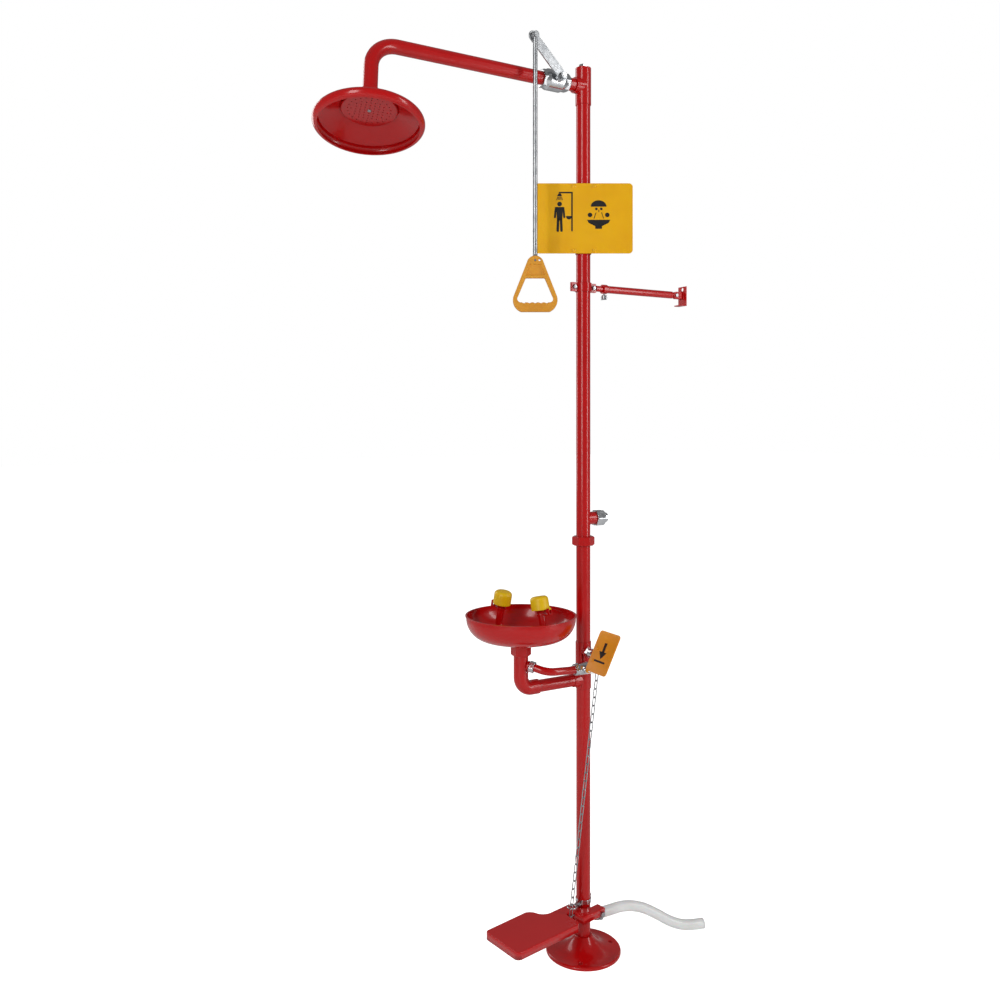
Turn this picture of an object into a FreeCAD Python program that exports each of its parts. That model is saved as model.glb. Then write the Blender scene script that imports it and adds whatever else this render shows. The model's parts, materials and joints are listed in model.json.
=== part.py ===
import FreeCAD, Part
import math
import os

# Emergency safety shower: drench shower and eyewash station on one floor-standing column.
# Millimetres. The origin is the centre of the base flange's underside, +Z is up,
# -Y is the front (arm, bowl, foot pedal), +Y is the wall side and +X is the lever side.

V = FreeCAD.Vector
LEFT_RIGHT = V(1, 0, 0)
TO_WALL = V(0, 1, 0)
UP = V(0, 0, 1)
ORIGIN = V(0, 0, 0)

# Fits
SOCKET_GAP = 0.1          # radial gap of a pipe in its socket, and of a pin in its bore
LOOSE_GAP = 0.3           # gap between pieces that move past each other
PIN_GAP = 0.05            # radial gap of a bolt or pin in a drilled hole
SCREW_R = 2.5             # panel screws
SCREW_HOLE_R = SCREW_R + SOCKET_GAP

# Column
PIPE_R = 19.0
PIPE_WALL = 3.0
PIPE_BORE_R = PIPE_R - PIPE_WALL
SLEEVE_R = 21.0           # outside of the tees
SOCKET_DEPTH = 15.0
BASE_R = 100.0
BASE_RIM = 7.0
BASE_HEIGHT = 45.0
BASE_FLOOR = 12.0         # metal under the post's end
BOLT_CIRCLE_R = 80.0
BOLT_HOLE_R = 5.5
BOLT_COUNT = 3
BOLT_ANGLE = -41.0        # first bolt hole, from +X
TEE_LOW_Z = 706.0
TEE_HIGH_Z = 831.0
TEE_WALL_LOW_Z = 760.0    # solid web between drain and supply chambers
TEE_WALL_HIGH_Z = 780.0
UNION_LOW_Z = 1089.0
UNION_HIGH_Z = 1113.0
UNION_FLATS = 53.0
INLET_Z = 1160.0
TOP_TEE_LOW_Z = 2270.0
TOP_TEE_HIGH_Z = 2370.0
PLUG_R = 8.0
PLUG_DEPTH = 10.0
ARM_Z = 2320.0

# Inlet branch
BRANCH_R = 17.0
BRANCH_BORE_R = 13.0
BRANCH_END_Y = 35.0
BUSHING_FLATS = 40.0
BUSHING_END_Y = 62.0
NIPPLE_R = 13.2
NIPPLE_THREAD_R = 11.2
NIPPLE_DEPTH = 12.0       # how far the nipple goes into the bushing
NIPPLE_BORE_R = 9.0
NIPPLE_END_Y = 74.0

# Shower valve, its lever and the pull rod
VALVE_Y = -94.0
VALVE_HALF = 41.0         # half the valve's length along the arm
VALVE_R = 27.5
VALVE_PORT_R = 12.5
VALVE_SOCKET_LONG = 10.0
VALVE_FLATS = 43.0
NIPPLE_START = 20.0       # the valve's nipple begins this far from the column's axis
BALL_R = 18.5
BALL_SLOT_FLOOR = 0.8     # of the ball's radius, and so is the next
BALL_SLOT_HALF = 0.18
BALL_CHAMBER_R = 19.0
SEAT_NEAR = 13.5          # from the ball's centre to the seat ring
SEAT_FAR = 16.0
STEM_R = 6.0
STEM_THREAD_R = 4.5
STEM_BOSS_R = 11.0
STEM_BOSS_END_X = 36.0
LEVER_X = 38.0            # near face of the lever bar
LEVER_THICK = 4.0
LEVER_WIDTH = 27.0
LEVER_LENGTH = 124.0
LEVER_ANGLE = 44.0        # above the horizontal, towards the front
LEVER_NUT_FLATS = 17.0
ROD_R = 6.0
ROD_X = LEVER_X + LEVER_THICK + ROD_R + LOOSE_GAP + 0.4
ROD_PIN_R = 4.0
ROD_END_Z = 1822.0        # tip of the rod inside the handle

# Arm and shower head
ARM_R = 17.5
ARM_WALL = 2.5
ARM_THREAD_R = 16.5
ARM_BEND_R = 75.0
ARM_REACH = 608.0         # from the column to where the arm turns down
HEAD_LEAN = 15.0          # lean of the drop from the vertical
HEAD_LEAN_AZIMUTH = -30.0
COLLAR_START = 128.0      # along the drop, from where the two axes cross
COLLAR_END = 145.0
HEAD_R = 130.0
HEAD_DEPTH = 84.0
HEAD_ROLL_R = 12.0        # the rim is rolled inwards
HEAD_CONE_Z = 60.0        # depth at which the roll begins
HEAD_WALL = 1.6
SPRAY_R = 66.0
SPRAY_DEPTH = 38.0        # spray plate below the top of the shell
SPRAY_WALL_TOP = 33.6     # top of the plate's turned-up edge, under the shell
SPRAY_HOLE_R = 1.6

# Pull handle
HANDLE_TOP_Z = 1843.0
HANDLE_THICK = 14.0
HANDLE_PIN_R = 2.5
HANDLE_PIN_DROP = 12.0    # from the handle's top to its pin
FACING_AZIMUTH = -30.0    # the handle and the sign both face this way

# Sign
SIGN_WIDTH = 260.0
SIGN_LOW_Z = 1869.0
SIGN_HIGH_Z = 2056.0
SIGN_THICK = 3.0
SIGN_CORNER_R = 10.0
SIGN_SCREW_SIDE = PIPE_R + 8
SIGN_SCREW_INSET = 8.0

# Wall stay
STAY_Z = 1781.0
STAY_CLAMP_HIGH = 24.0
STAY_INNER_R = 8.0
STAY_OUTER_R = 10.0
STAY_START_Y = PIPE_R + 21
STAY_COLLAR_Y = 62.0
STAY_COLLAR_LONG = 14.0
STAY_COLLAR_R = 12.5
STAY_END_Y = 306.0
STAY_INNER_END_Y = 262.0
FOOT_PIVOT_Y = 320.0
FOOT_FACE_Y = 348.0
FOOT_HOLE_R = 5.0
STAY_PIN_R = 3.0
STAY_BOLT_SIDE = PIPE_R + 12   # from the column's axis to a clamp bolt
STAY_BORE_R = STAY_INNER_R + SOCKET_GAP

# Eyewash bowl and its drain
BOWL_Y = -196.0
BOWL_R = 142.5
BOWL_RIM_Z = 922.0
BOWL_DEPTH = 70.0
BOWL_WALL = 2.0
BOWL_OUTLET_R = 17.0
BOWL_OUTLET_LONG = 12.0   # how far the outlet goes into the elbow
ELBOW_TOP_Z = 818.0
ELBOW_R = 19.0
ELBOW_BEND_R = 30.0
DRAIN_Z = 730.0
DRAIN_PIPE_R = 16.0
DRAIN_PIPE_WALL = 2.5
BOWL_NUT_FLATS = 46.0

# Eyewash supply, valve and nozzles
OUTLET_Z = 806.0
SUPPLY_X = 55.0
SUPPLY_Z = 775.0
SUPPLY_R = 10.0
SUPPLY_BORE_R = 7.5
SUPPLY_CORNER = V(SUPPLY_X, -150.0, 779.0)
SUPPLY_ENTRY_Z = 797.0    # where the supply meets the bowl's axis
NUT_START = 24.0          # from the bowl's axis to the supply nut
EYE_VALVE_Y = -40.0
EYE_VALVE_HALF = 28.0
EYE_VALVE_R = 16.0
EYE_VALVE_FLATS = 27.0
EYE_SEAT_NEAR = 7.6
EYE_SEAT_FAR = 9.2
EYE_PORT_R = 6.0
EYE_BALL_R = 9.6
EYE_CHAMBER_R = 10.0
EYE_STEM_R = 4.5
EYE_STEM_THREAD_R = 3.5
YOKE_YAW = 20.6
YOKE_Z = 870.0
YOKE_R = 9.0
YOKE_BEND_R = 22.0
YOKE_THREAD_R = 8.0
NOZZLE_HALF = 64.0        # from the bowl's axis to a nozzle's centre
NOZZLE_Z = 942.0
NOZZLE_SPLAY = 14.0       # the stem's foot is farther out than the nozzle
NOZZLE_NECK = 8.0         # from the stem's end to the nozzle's centre
CAP_R = 23.5
CAP_HIGH = 35.0
CAP_WALL = 2.0
HINGE_OUT = 4.0           # from the cap's side to its hinge pin
HINGE_PIN_R = 1.5

# Push plate
PLATE_NEAR_X = 79.0
PLATE_WIDTH = 85.0
PLATE_LENGTH = 110.0
PLATE_THICK = 3.0
PLATE_LEAN = 27.5         # from the vertical
PLATE_FOOT_Y = -50.0
PLATE_FOOT_Z = 779.0
BRACKET_X = 76.0
BRACKET_THICK = 3.0
EYE_Y = -10.0             # the chain's eye in the bracket
EYE_Z = 768.0
EYE_HOLE_R = 2.3

# Chain, its guide and the pedal
CHAIN_WIRE_R = 1.25
CHAIN_WIDTH = 11.5
CHAIN_PITCH = 22.0
CHAIN_SLACK = 0.25
CHAIN_LAST = 31.0         # pitch of the long link at the pedal
CHAIN_LAST_WIDTH = 11.5
GUIDE_POINT = V(33.0, -61.0, 146.0)
GUIDE_RING_R = 11.5
GUIDE_RING_SET_BACK = 2.0  # the ring's centre is nearer the column than the chain at rest
GUIDE_WIRE_R = 1.5
GUIDE_LOW_Z = 132.0
GUIDE_HIGH_Z = 143.0
GUIDE_BOLT_OUT = PIPE_R + 11   # from the column's axis to a clamp bolt
GUIDE_SHANK_OUT = PIPE_R + 25
PEDAL_YAW = 10.5
PEDAL_TOP_Z = 127.0
PEDAL_SKIRT = 19.0
PEDAL_SHEET = 2.5
PEDAL_PIVOT_ALONG = -15.0
PEDAL_PIVOT_Z = 113.0
PEDAL_BOLT_R = 4.0
PEDAL_COLLAR_HIGH = 8.0
CHAIN_PIN_LATERAL = 21.0
CHAIN_PIN_ALONG = 68.0
CHAIN_PIN_R = 2.0
NOTCH_NEAR = 14.5         # from the chain's pin to the slot's edges
NOTCH_FAR = 9.0
NOTCH_DEEP = 11.5         # from the chain's pin to the slot's rounded end
PEDAL_CLEARANCE = 8.0     # between the column and the pedal's cut-out
CHAIN_PIN_Z = 121.0

# Drain spigot and hose
SPIGOT_Z = 86.0
SPIGOT_R = 10.5
SPIGOT_BORE_R = 8.0
SPIGOT_END_Y = 56.0
HOSE_R = 14.0
HOSE_BORE_R = SPIGOT_R + SOCKET_GAP
HOSE_ROUTE = [
    V(0, 36, SPIGOT_Z), V(0, 84, SPIGOT_Z), V(7, 133, 90), V(20, 180, 80),
    V(35, 221, 57), V(50, 261, 30), V(65, 305, HOSE_R), V(77, 354, HOSE_R),
]


def direction(azimuth, elevation=0.0):
    """Unit vector from its azimuth, counted from +X, and its elevation."""
    flat = math.cos(math.radians(elevation))
    turn = math.radians(azimuth)
    return V(flat * math.cos(turn), flat * math.sin(turn), math.sin(math.radians(elevation)))


def cylinder(radius, start, end):
    return Part.makeCylinder(radius, (end - start).Length, start, end - start)


def tube(outer, inner, start, end):
    return cylinder(outer, start, end).cut(cylinder(inner, start, end))


def placed(shape, origin, x_axis, z_axis):
    """Move a shape from the world frame to one with this origin and these axes."""
    rotation = FreeCAD.Rotation(x_axis, ORIGIN, z_axis, "ZXY")
    shape.Placement = FreeCAD.Placement(origin, rotation).multiply(shape.Placement)
    return shape


def prism(corners, extrude):
    """Straight prism on a flat outline; a pair of points is an arc's middle and end."""
    return Part.Face(outline(corners)).extrude(extrude)


def outline(corners):
    edges = []
    first = corners[0]
    here = first
    for corner in corners[1:] + [first]:
        if isinstance(corner, tuple):
            edges.append(Part.Arc(here, corner[0], corner[1]).toShape())
            here = corner[1]
        elif (corner - here).Length > 1e-6:
            edges.append(Part.LineSegment(here, corner).toShape())
            here = corner
    return Part.Wire(edges)


def turned(profile, base, axis):
    """Solid of revolution: a profile point is (radius, height along the axis)."""
    points = []
    for item in profile:
        if isinstance(item[0], tuple):
            middle, end = item
            points.append((V(middle[0], 0, middle[1]), V(end[0], 0, end[1])))
        else:
            points.append(V(item[0], 0, item[1]))
    solid = Part.Face(outline(points)).revolve(ORIGIN, UP, 360)
    solid.Placement = FreeCAD.Placement(base, FreeCAD.Rotation(UP, axis))
    return solid


def hex_bar(flats, start, end, flat_towards=None):
    """Hexagonal bar between two points, with one flat towards the given direction."""
    run = end - start
    corner_r = flats / math.sqrt(3)
    corners = [direction(60 * k + 30) * corner_r for k in range(6)]
    bar = prism(corners, V(0, 0, run.Length))
    bar = bar.common(turned([
        (0, 0), (flats / 2, 0), (corner_r, (corner_r - flats / 2) * 0.6),
        (corner_r, run.Length - (corner_r - flats / 2) * 0.6), (flats / 2, run.Length),
        (0, run.Length)], ORIGIN, UP))
    towards = flat_towards or (UP if abs(run.z) < 0.9 * run.Length else LEFT_RIGHT)
    return placed(bar, start, towards, run)


def bent_path(points, radii):
    """Wire of straight runs joined by tangent arcs of the given radii."""
    edges = []
    here = points[0]
    for index in range(1, len(points) - 1):
        corner = points[index]
        back = (points[index - 1] - corner).normalize()
        ahead = (points[index + 1] - corner).normalize()
        half = back.getAngle(ahead) / 2
        radius = radii[index - 1]
        reach = radius / math.tan(half)
        start = corner + back * reach
        end = corner + ahead * reach
        inward = (back + ahead).normalize()
        middle = corner + inward * (radius / math.sin(half) - radius)
        if (start - here).Length > 1e-6:
            edges.append(Part.LineSegment(here, start).toShape())
        edges.append(Part.Arc(start, middle, end).toShape())
        here = end
    if (points[-1] - here).Length > 1e-6:
        edges.append(Part.LineSegment(here, points[-1]).toShape())
    return Part.Wire(edges)


def swept(radius, path):
    """Round bar along a path of lines and arcs."""
    start = path.OrderedVertexes[0].Point
    first = path.OrderedEdges[0]
    along = first.tangentAt(first.FirstParameter)
    if (first.valueAt(first.FirstParameter) - start).Length > 1e-6:
        along = first.tangentAt(first.LastParameter) * -1
    ring = Part.Wire([Part.Circle(start, along, radius).toShape()])
    return path.makePipeShell([ring], True, False)


def bent_tube(outer, inner, points, radii):
    path = bent_path(points, radii)
    return swept(outer, path).cut(swept(inner, path))


def fused(*shapes):
    return shapes[0].multiFuse(list(shapes[1:])).removeSplitter()


def group(shapes):
    return Part.makeCompound(shapes)


# ---------------------------------------------------------------- column

def bolt_centres():
    return [direction(BOLT_ANGLE + 360 * k / BOLT_COUNT) * BOLT_CIRCLE_R for k in range(BOLT_COUNT)]


def make_base_flange():
    socket = PIPE_R + SOCKET_GAP
    neck = PIPE_R + 4
    body = turned([
        (0, 0), (BASE_R, 0), (BASE_R, BASE_RIM), (BASE_R - 3, BASE_RIM + 2.5),
        ((neck + 26, BASE_HEIGHT * 0.42), (neck + 2, BASE_HEIGHT - 3)),
        (neck, BASE_HEIGHT), (socket, BASE_HEIGHT), (socket, BASE_FLOOR), (0, BASE_FLOOR)], ORIGIN, UP)
    for centre in bolt_centres():
        body = body.cut(cylinder(BOLT_HOLE_R, centre, centre + UP * BASE_HEIGHT))
    return body


def make_drain_post():
    top = TEE_LOW_Z + SOCKET_DEPTH
    post = tube(PIPE_R, PIPE_BORE_R, V(0, 0, BASE_FLOOR), V(0, 0, top))
    return post.cut(cylinder(SPIGOT_R + SOCKET_GAP, V(0, 0, SPIGOT_Z), V(0, PIPE_R + 5, SPIGOT_Z)))


def make_post_tee():
    socket = PIPE_R + SOCKET_GAP
    low_seat = TEE_LOW_Z + SOCKET_DEPTH
    high_seat = TEE_HIGH_Z - SOCKET_DEPTH
    boss_end = V(SLEEVE_R + 3, 0, OUTLET_Z)
    branch_end = V(0, -36, DRAIN_Z)
    tee = fused(cylinder(SLEEVE_R, V(0, 0, TEE_LOW_Z), V(0, 0, TEE_HIGH_Z)),
                cylinder(14, V(0, 0, OUTLET_Z), boss_end),
                cylinder(ELBOW_R - 1, V(0, 0, DRAIN_Z), branch_end))
    bores = [
        cylinder(socket, V(0, 0, TEE_LOW_Z), V(0, 0, low_seat)),
        cylinder(PIPE_BORE_R, V(0, 0, TEE_LOW_Z), V(0, 0, TEE_WALL_LOW_Z)),
        cylinder(PIPE_BORE_R, V(0, 0, TEE_WALL_HIGH_Z), V(0, 0, TEE_HIGH_Z)),
        cylinder(socket, V(0, 0, high_seat), V(0, 0, TEE_HIGH_Z)),
        cylinder(SUPPLY_R + SOCKET_GAP, V(PIPE_BORE_R + 1, 0, OUTLET_Z), boss_end),
        cylinder(SUPPLY_BORE_R, V(0, 0, OUTLET_Z), boss_end),
        cylinder(DRAIN_PIPE_R + SOCKET_GAP, V(0, -PIPE_R, DRAIN_Z), branch_end),
        cylinder(DRAIN_PIPE_R - DRAIN_PIPE_WALL, V(0, 0, DRAIN_Z), branch_end),
    ]
    for bore in bores:
        tee = tee.cut(bore)
    return tee


def union_mid():
    return (UNION_LOW_Z + UNION_HIGH_Z) / 2


def make_supply_pipe_lower():
    return tube(PIPE_R, PIPE_BORE_R, V(0, 0, TEE_HIGH_Z - SOCKET_DEPTH), V(0, 0, union_mid()))


def make_union_nut():
    nut = hex_bar(UNION_FLATS, V(0, 0, UNION_LOW_Z), V(0, 0, UNION_HIGH_Z), direction(FACING_AZIMUTH))
    return nut.cut(cylinder(PIPE_R + SOCKET_GAP, V(0, 0, UNION_LOW_Z - 1), V(0, 0, UNION_HIGH_Z + 1)))


def make_supply_pipe_upper():
    top = TOP_TEE_LOW_Z + SOCKET_DEPTH
    pipe = fused(cylinder(PIPE_R, V(0, 0, union_mid()), V(0, 0, top)),
                 cylinder(BRANCH_R, V(0, 0, INLET_Z), V(0, BRANCH_END_Y, INLET_Z)))
    pipe = pipe.cut(cylinder(PIPE_BORE_R, V(0, 0, union_mid()), V(0, 0, top)))
    return pipe.cut(cylinder(BRANCH_BORE_R, V(0, 0, INLET_Z), V(0, BRANCH_END_Y, INLET_Z)))


def make_inlet_bushing():
    seat = BUSHING_END_Y - NIPPLE_DEPTH
    plug = cylinder(BRANCH_BORE_R - SOCKET_GAP, V(0, BRANCH_END_Y - 10, INLET_Z), V(0, BRANCH_END_Y, INLET_Z))
    hexagon = hex_bar(BUSHING_FLATS, V(0, BRANCH_END_Y, INLET_Z), V(0, BUSHING_END_Y, INLET_Z))
    body = fused(plug, hexagon)
    body = body.cut(cylinder(NIPPLE_BORE_R, V(0, 0, INLET_Z), V(0, BUSHING_END_Y, INLET_Z)))
    socket = NIPPLE_THREAD_R + SOCKET_GAP
    return body.cut(cylinder(socket, V(0, seat, INLET_Z), V(0, BUSHING_END_Y, INLET_Z)))


def make_inlet_nipple():
    seat = BUSHING_END_Y - NIPPLE_DEPTH
    return turned([
        (NIPPLE_BORE_R, 0), (NIPPLE_THREAD_R, 0), (NIPPLE_THREAD_R, BUSHING_END_Y - seat),
        (NIPPLE_R, BUSHING_END_Y - seat), (NIPPLE_R, NIPPLE_END_Y - seat),
        (NIPPLE_BORE_R, NIPPLE_END_Y - seat)], V(0, seat, INLET_Z), TO_WALL)


def make_top_tee():
    socket = PIPE_R + SOCKET_GAP
    seat = TOP_TEE_LOW_Z + SOCKET_DEPTH
    branch_end = V(0, -31, ARM_Z)
    tee = fused(cylinder(SLEEVE_R, V(0, 0, TOP_TEE_LOW_Z), V(0, 0, TOP_TEE_HIGH_Z)),
                cylinder(SLEEVE_R, V(0, 0, ARM_Z), branch_end))
    bores = [
        cylinder(socket, V(0, 0, TOP_TEE_LOW_Z), V(0, 0, seat)),
        cylinder(PIPE_BORE_R, V(0, 0, TOP_TEE_LOW_Z), V(0, 0, TOP_TEE_HIGH_Z - PLUG_DEPTH)),
        cylinder(PLUG_R + SOCKET_GAP, V(0, 0, TOP_TEE_LOW_Z), V(0, 0, TOP_TEE_HIGH_Z)),
        cylinder(VALVE_PORT_R, V(0, 0, ARM_Z), branch_end),
        cylinder(ARM_THREAD_R + SOCKET_GAP, V(0, -NIPPLE_START, ARM_Z), branch_end),
    ]
    for bore in bores:
        tee = tee.cut(bore)
    return tee


def make_top_plug():
    seat = V(0, 0, TOP_TEE_HIGH_Z)
    return fused(hex_bar(22, seat, seat + UP * 9), cylinder(PLUG_R, seat - UP * PLUG_DEPTH, seat))


# ---------------------------------------------------------------- shower valve, lever, rod

def make_shower_valve_nipple():
    end = VALVE_Y + VALVE_HALF - VALVE_SOCKET_LONG
    return tube(ARM_THREAD_R, VALVE_PORT_R, V(0, -NIPPLE_START, ARM_Z), V(0, end, ARM_Z))


def valve_body(centre, half, middle_r, end_flats, port_r, chamber_r, chamber_half, socket_r):
    """Two-piece ball valve along Y, open for its stem along +X."""
    start = centre - TO_WALL * half
    end = centre + TO_WALL * half
    end_long = half * 0.42
    barrel_start = half * 0.4
    body = fused(
        hex_bar(end_flats, start, start + TO_WALL * end_long),
        hex_bar(end_flats, end - TO_WALL * end_long, end),
        turned([
            (0, 0), (end_flats / 2, 0), (middle_r, barrel_start - half * 0.14),
            (middle_r, 2 * half - 2 * barrel_start + half * 0.1),
            (middle_r - 2, 2 * half - 1.8 * barrel_start),
            (end_flats / 2, 2 * half - barrel_start * 0.8), (0, 2 * half - barrel_start * 0.8)],
            start + TO_WALL * barrel_start * 0.4, TO_WALL))
    for bore in (cylinder(port_r, start, end),
                 cylinder(chamber_r, centre - TO_WALL * chamber_half, centre + TO_WALL * chamber_half),
                 cylinder(socket_r, start, start + TO_WALL * VALVE_SOCKET_LONG),
                 cylinder(socket_r, end - TO_WALL * VALVE_SOCKET_LONG, end)):
        body = body.cut(bore)
    return body


def make_shower_valve_body():
    centre = V(0, VALVE_Y, ARM_Z)
    body = valve_body(centre, VALVE_HALF, VALVE_R, VALVE_FLATS, VALVE_PORT_R, BALL_CHAMBER_R, SEAT_FAR,
                      ARM_THREAD_R + SOCKET_GAP)
    boss = cylinder(STEM_BOSS_R, centre + LEFT_RIGHT * 22, centre + LEFT_RIGHT * STEM_BOSS_END_X)
    body = fused(body, boss)
    return body.cut(cylinder(STEM_R + SOCKET_GAP, centre, centre + LEFT_RIGHT * STEM_BOSS_END_X))


def ball(centre, radius, port_r):
    sphere = Part.makeSphere(radius, centre)
    sphere = sphere.cut(cylinder(port_r, centre - TO_WALL * 2 * radius, centre + TO_WALL * 2 * radius))
    half = radius * BALL_SLOT_HALF
    slot = Part.makeBox(radius, 2 * half, 2 * radius, centre + V(radius * BALL_SLOT_FLOOR, -half, -radius))
    return sphere.cut(slot)


def make_shower_valve_ball():
    return ball(V(0, VALVE_Y, ARM_Z), BALL_R, VALVE_PORT_R - 0.5)


def make_valve_seats():
    rings = []
    for side in (-1, 1):
        start = V(0, VALVE_Y + side * SEAT_NEAR, ARM_Z)
        end = V(0, VALVE_Y + side * SEAT_FAR, ARM_Z)
        rings.append(tube(BALL_CHAMBER_R - SOCKET_GAP, VALVE_PORT_R + 0.5, start, end))
        start = V(SUPPLY_X, EYE_VALVE_Y + side * EYE_SEAT_NEAR, SUPPLY_Z)
        end = V(SUPPLY_X, EYE_VALVE_Y + side * EYE_SEAT_FAR, SUPPLY_Z)
        rings.append(tube(EYE_CHAMBER_R - SOCKET_GAP, EYE_PORT_R + 0.3, start, end))
    return group(rings)


def stem(centre, ball_r, stem_r, shoulder_x, thread_r, end_x):
    """Valve stem along +X with a flat tang in the ball's slot and a thread for the lever."""
    slot_floor = ball_r * BALL_SLOT_FLOOR + SOCKET_GAP
    tang_half = ball_r * BALL_SLOT_HALF - 0.15
    tang = Part.makeBox(ball_r * 0.3, 2 * tang_half, 2 * tang_half + 3,
                        centre + V(slot_floor, -tang_half, -tang_half - 1.5))
    return fused(tang,
                 cylinder(stem_r, centre + LEFT_RIGHT * (ball_r + 0.2), centre + LEFT_RIGHT * shoulder_x),
                 cylinder(thread_r, centre + LEFT_RIGHT * shoulder_x, centre + LEFT_RIGHT * end_x))


def make_shower_valve_stem():
    return stem(V(0, VALVE_Y, ARM_Z), BALL_R, STEM_R, LEVER_X, STEM_THREAD_R, LEVER_X + LEVER_THICK + 10)


def lever_tip():
    return V(0, VALVE_Y, ARM_Z) + direction(-90, LEVER_ANGLE) * LEVER_LENGTH


def make_shower_lever():
    root = V(LEVER_X, VALVE_Y, ARM_Z)
    tip = lever_tip() + LEFT_RIGHT * LEVER_X
    along = direction(-90, LEVER_ANGLE)
    side = LEFT_RIGHT.cross(along)
    half = LEVER_WIDTH / 2
    bar = prism([root + side * half, (root - along * half, root - side * half), tip - side * half,
                 (tip + along * half, tip + side * half)], LEFT_RIGHT * LEVER_THICK)
    bar = bar.cut(cylinder(STEM_THREAD_R + PIN_GAP, root, root + LEFT_RIGHT * LEVER_THICK))
    return bar.cut(cylinder(ROD_PIN_R + PIN_GAP, tip, tip + LEFT_RIGHT * LEVER_THICK))


def shower_lever_nut():
    start = V(LEVER_X + LEVER_THICK, VALVE_Y, ARM_Z)
    nut = hex_bar(LEVER_NUT_FLATS, start, start + LEFT_RIGHT * 8)
    return nut.cut(cylinder(STEM_THREAD_R + PIN_GAP, start, start + LEFT_RIGHT * 9))


def rod_axis(z):
    return V(ROD_X, lever_tip().y, z)


def make_pull_rod():
    top = lever_tip().z
    eye_r = 9.0
    eye_start = rod_axis(top) - LEFT_RIGHT * ROD_R
    eye = cylinder(eye_r, eye_start, eye_start + LEFT_RIGHT * 2 * ROD_R)
    facing = direction(FACING_AZIMUTH)
    flat_top = HANDLE_TOP_Z + 3
    tongue = cylinder(ROD_R, rod_axis(ROD_END_Z), rod_axis(flat_top))
    slab = Part.makeBox(2.2 * ROD_R, 4, flat_top - ROD_END_Z, V(-1.1 * ROD_R, -2, 0))
    tongue = tongue.common(placed(slab, rod_axis(ROD_END_Z), facing.cross(UP), UP))
    rod = fused(eye, cylinder(ROD_R, rod_axis(flat_top), rod_axis(top)), tongue)
    across = LEFT_RIGHT * 20
    rod = rod.cut(cylinder(ROD_PIN_R + PIN_GAP, rod_axis(top) - across, rod_axis(top) + across))
    pin = handle_pivot()
    return rod.cut(cylinder(HANDLE_PIN_R + PIN_GAP, pin - facing * 20, pin + facing * 20))


def pull_rod_pin():
    tip = lever_tip()
    start = V(LEVER_X - 3, tip.y, tip.z)
    end = V(ROD_X + ROD_R + 3, tip.y, tip.z)
    return fused(cylinder(ROD_PIN_R, start, end),
                 cylinder(ROD_PIN_R + 3, start - LEFT_RIGHT * 0.5, start + LEFT_RIGHT * 2.7),
                 cylinder(ROD_PIN_R + 3, end - LEFT_RIGHT * 2.7, end))


def make_lever_fasteners():
    return group([shower_lever_nut(), pull_rod_pin()])


# ---------------------------------------------------------------- pull handle

def handle_pivot():
    return rod_axis(HANDLE_TOP_Z - HANDLE_PIN_DROP)


def make_pull_handle():
    """Triangular handle, drawn in its own frame: x across, z up, top at z = 0."""
    t = HANDLE_THICK
    back = t / 2
    body = prism([
        V(-21, back, -16), (V(0, back, 0), V(21, back, -16)), V(55.5, back, -104),
        (V(54, back, -126), V(36, back, -143)), V(-36, back, -143),
        (V(-54, back, -126), V(-55.5, back, -104))], V(0, -t, 0))
    window = prism([
        V(-24, back, -57), V(24, back, -57), V(44, back, -104), (V(45, back, -113), V(38, back, -119)),
        V(-38, back, -119), (V(-45, back, -113), V(-44, back, -104))], V(0, -t, 0))
    body = body.cut(window)
    for k in range(5):
        centre = V(-29 + 14.5 * k, 0, -116)
        body = body.cut(cylinder(5, centre - TO_WALL * t, centre + TO_WALL * t))
    web = prism([V(-15, 0, -22), V(15, 0, -22), V(24, 0, -50), V(-24, 0, -50)], V(0, -t, 0))
    body = body.cut(web.translated(V(0, -3, 0))).cut(web.translated(V(0, t + 3, 0)))
    body = body.cut(Part.makeBox(60, 5, 30, V(-30, -2.5, -25)))
    body = body.cut(cylinder(3, V(11, -t, -11), V(11, t, -11)))
    body = body.cut(cylinder(HANDLE_PIN_R + PIN_GAP, V(0, -t, -HANDLE_PIN_DROP), V(0, t, -HANDLE_PIN_DROP)))
    facing = direction(FACING_AZIMUTH)
    return placed(body, rod_axis(HANDLE_TOP_Z), UP.cross(facing), UP)


def make_handle_pin():
    pin = handle_pivot()
    facing = direction(FACING_AZIMUTH)
    return cylinder(HANDLE_PIN_R, pin - facing * (HANDLE_THICK / 2), pin + facing * (HANDLE_THICK / 2))


# ---------------------------------------------------------------- arm and shower head

def drop_axis():
    return direction(HEAD_LEAN_AZIMUTH, HEAD_LEAN - 90)


def drop_point(distance):
    return V(0, -ARM_REACH, ARM_Z) + drop_axis() * distance


def make_shower_arm():
    start = V(0, VALVE_Y - VALVE_HALF, ARM_Z)
    path = [start, drop_point(0), drop_point(COLLAR_START + 5)]
    arm = bent_tube(ARM_R, ARM_R - ARM_WALL, path, [ARM_BEND_R])
    thread = tube(ARM_THREAD_R, VALVE_PORT_R, start, start + TO_WALL * VALVE_SOCKET_LONG)
    return fused(arm, thread)


def make_head_collar():
    long = COLLAR_END - COLLAR_START
    socket = ARM_R + SOCKET_GAP
    return turned([
        (socket, 0), (ARM_R + 2.5, 0), (ARM_R + 2.5, 5), (ARM_R + 5, long - 3), (ARM_R + 5, long),
        (12, long), (12, 5), (socket, 5)], drop_point(COLLAR_START), drop_axis())


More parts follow.
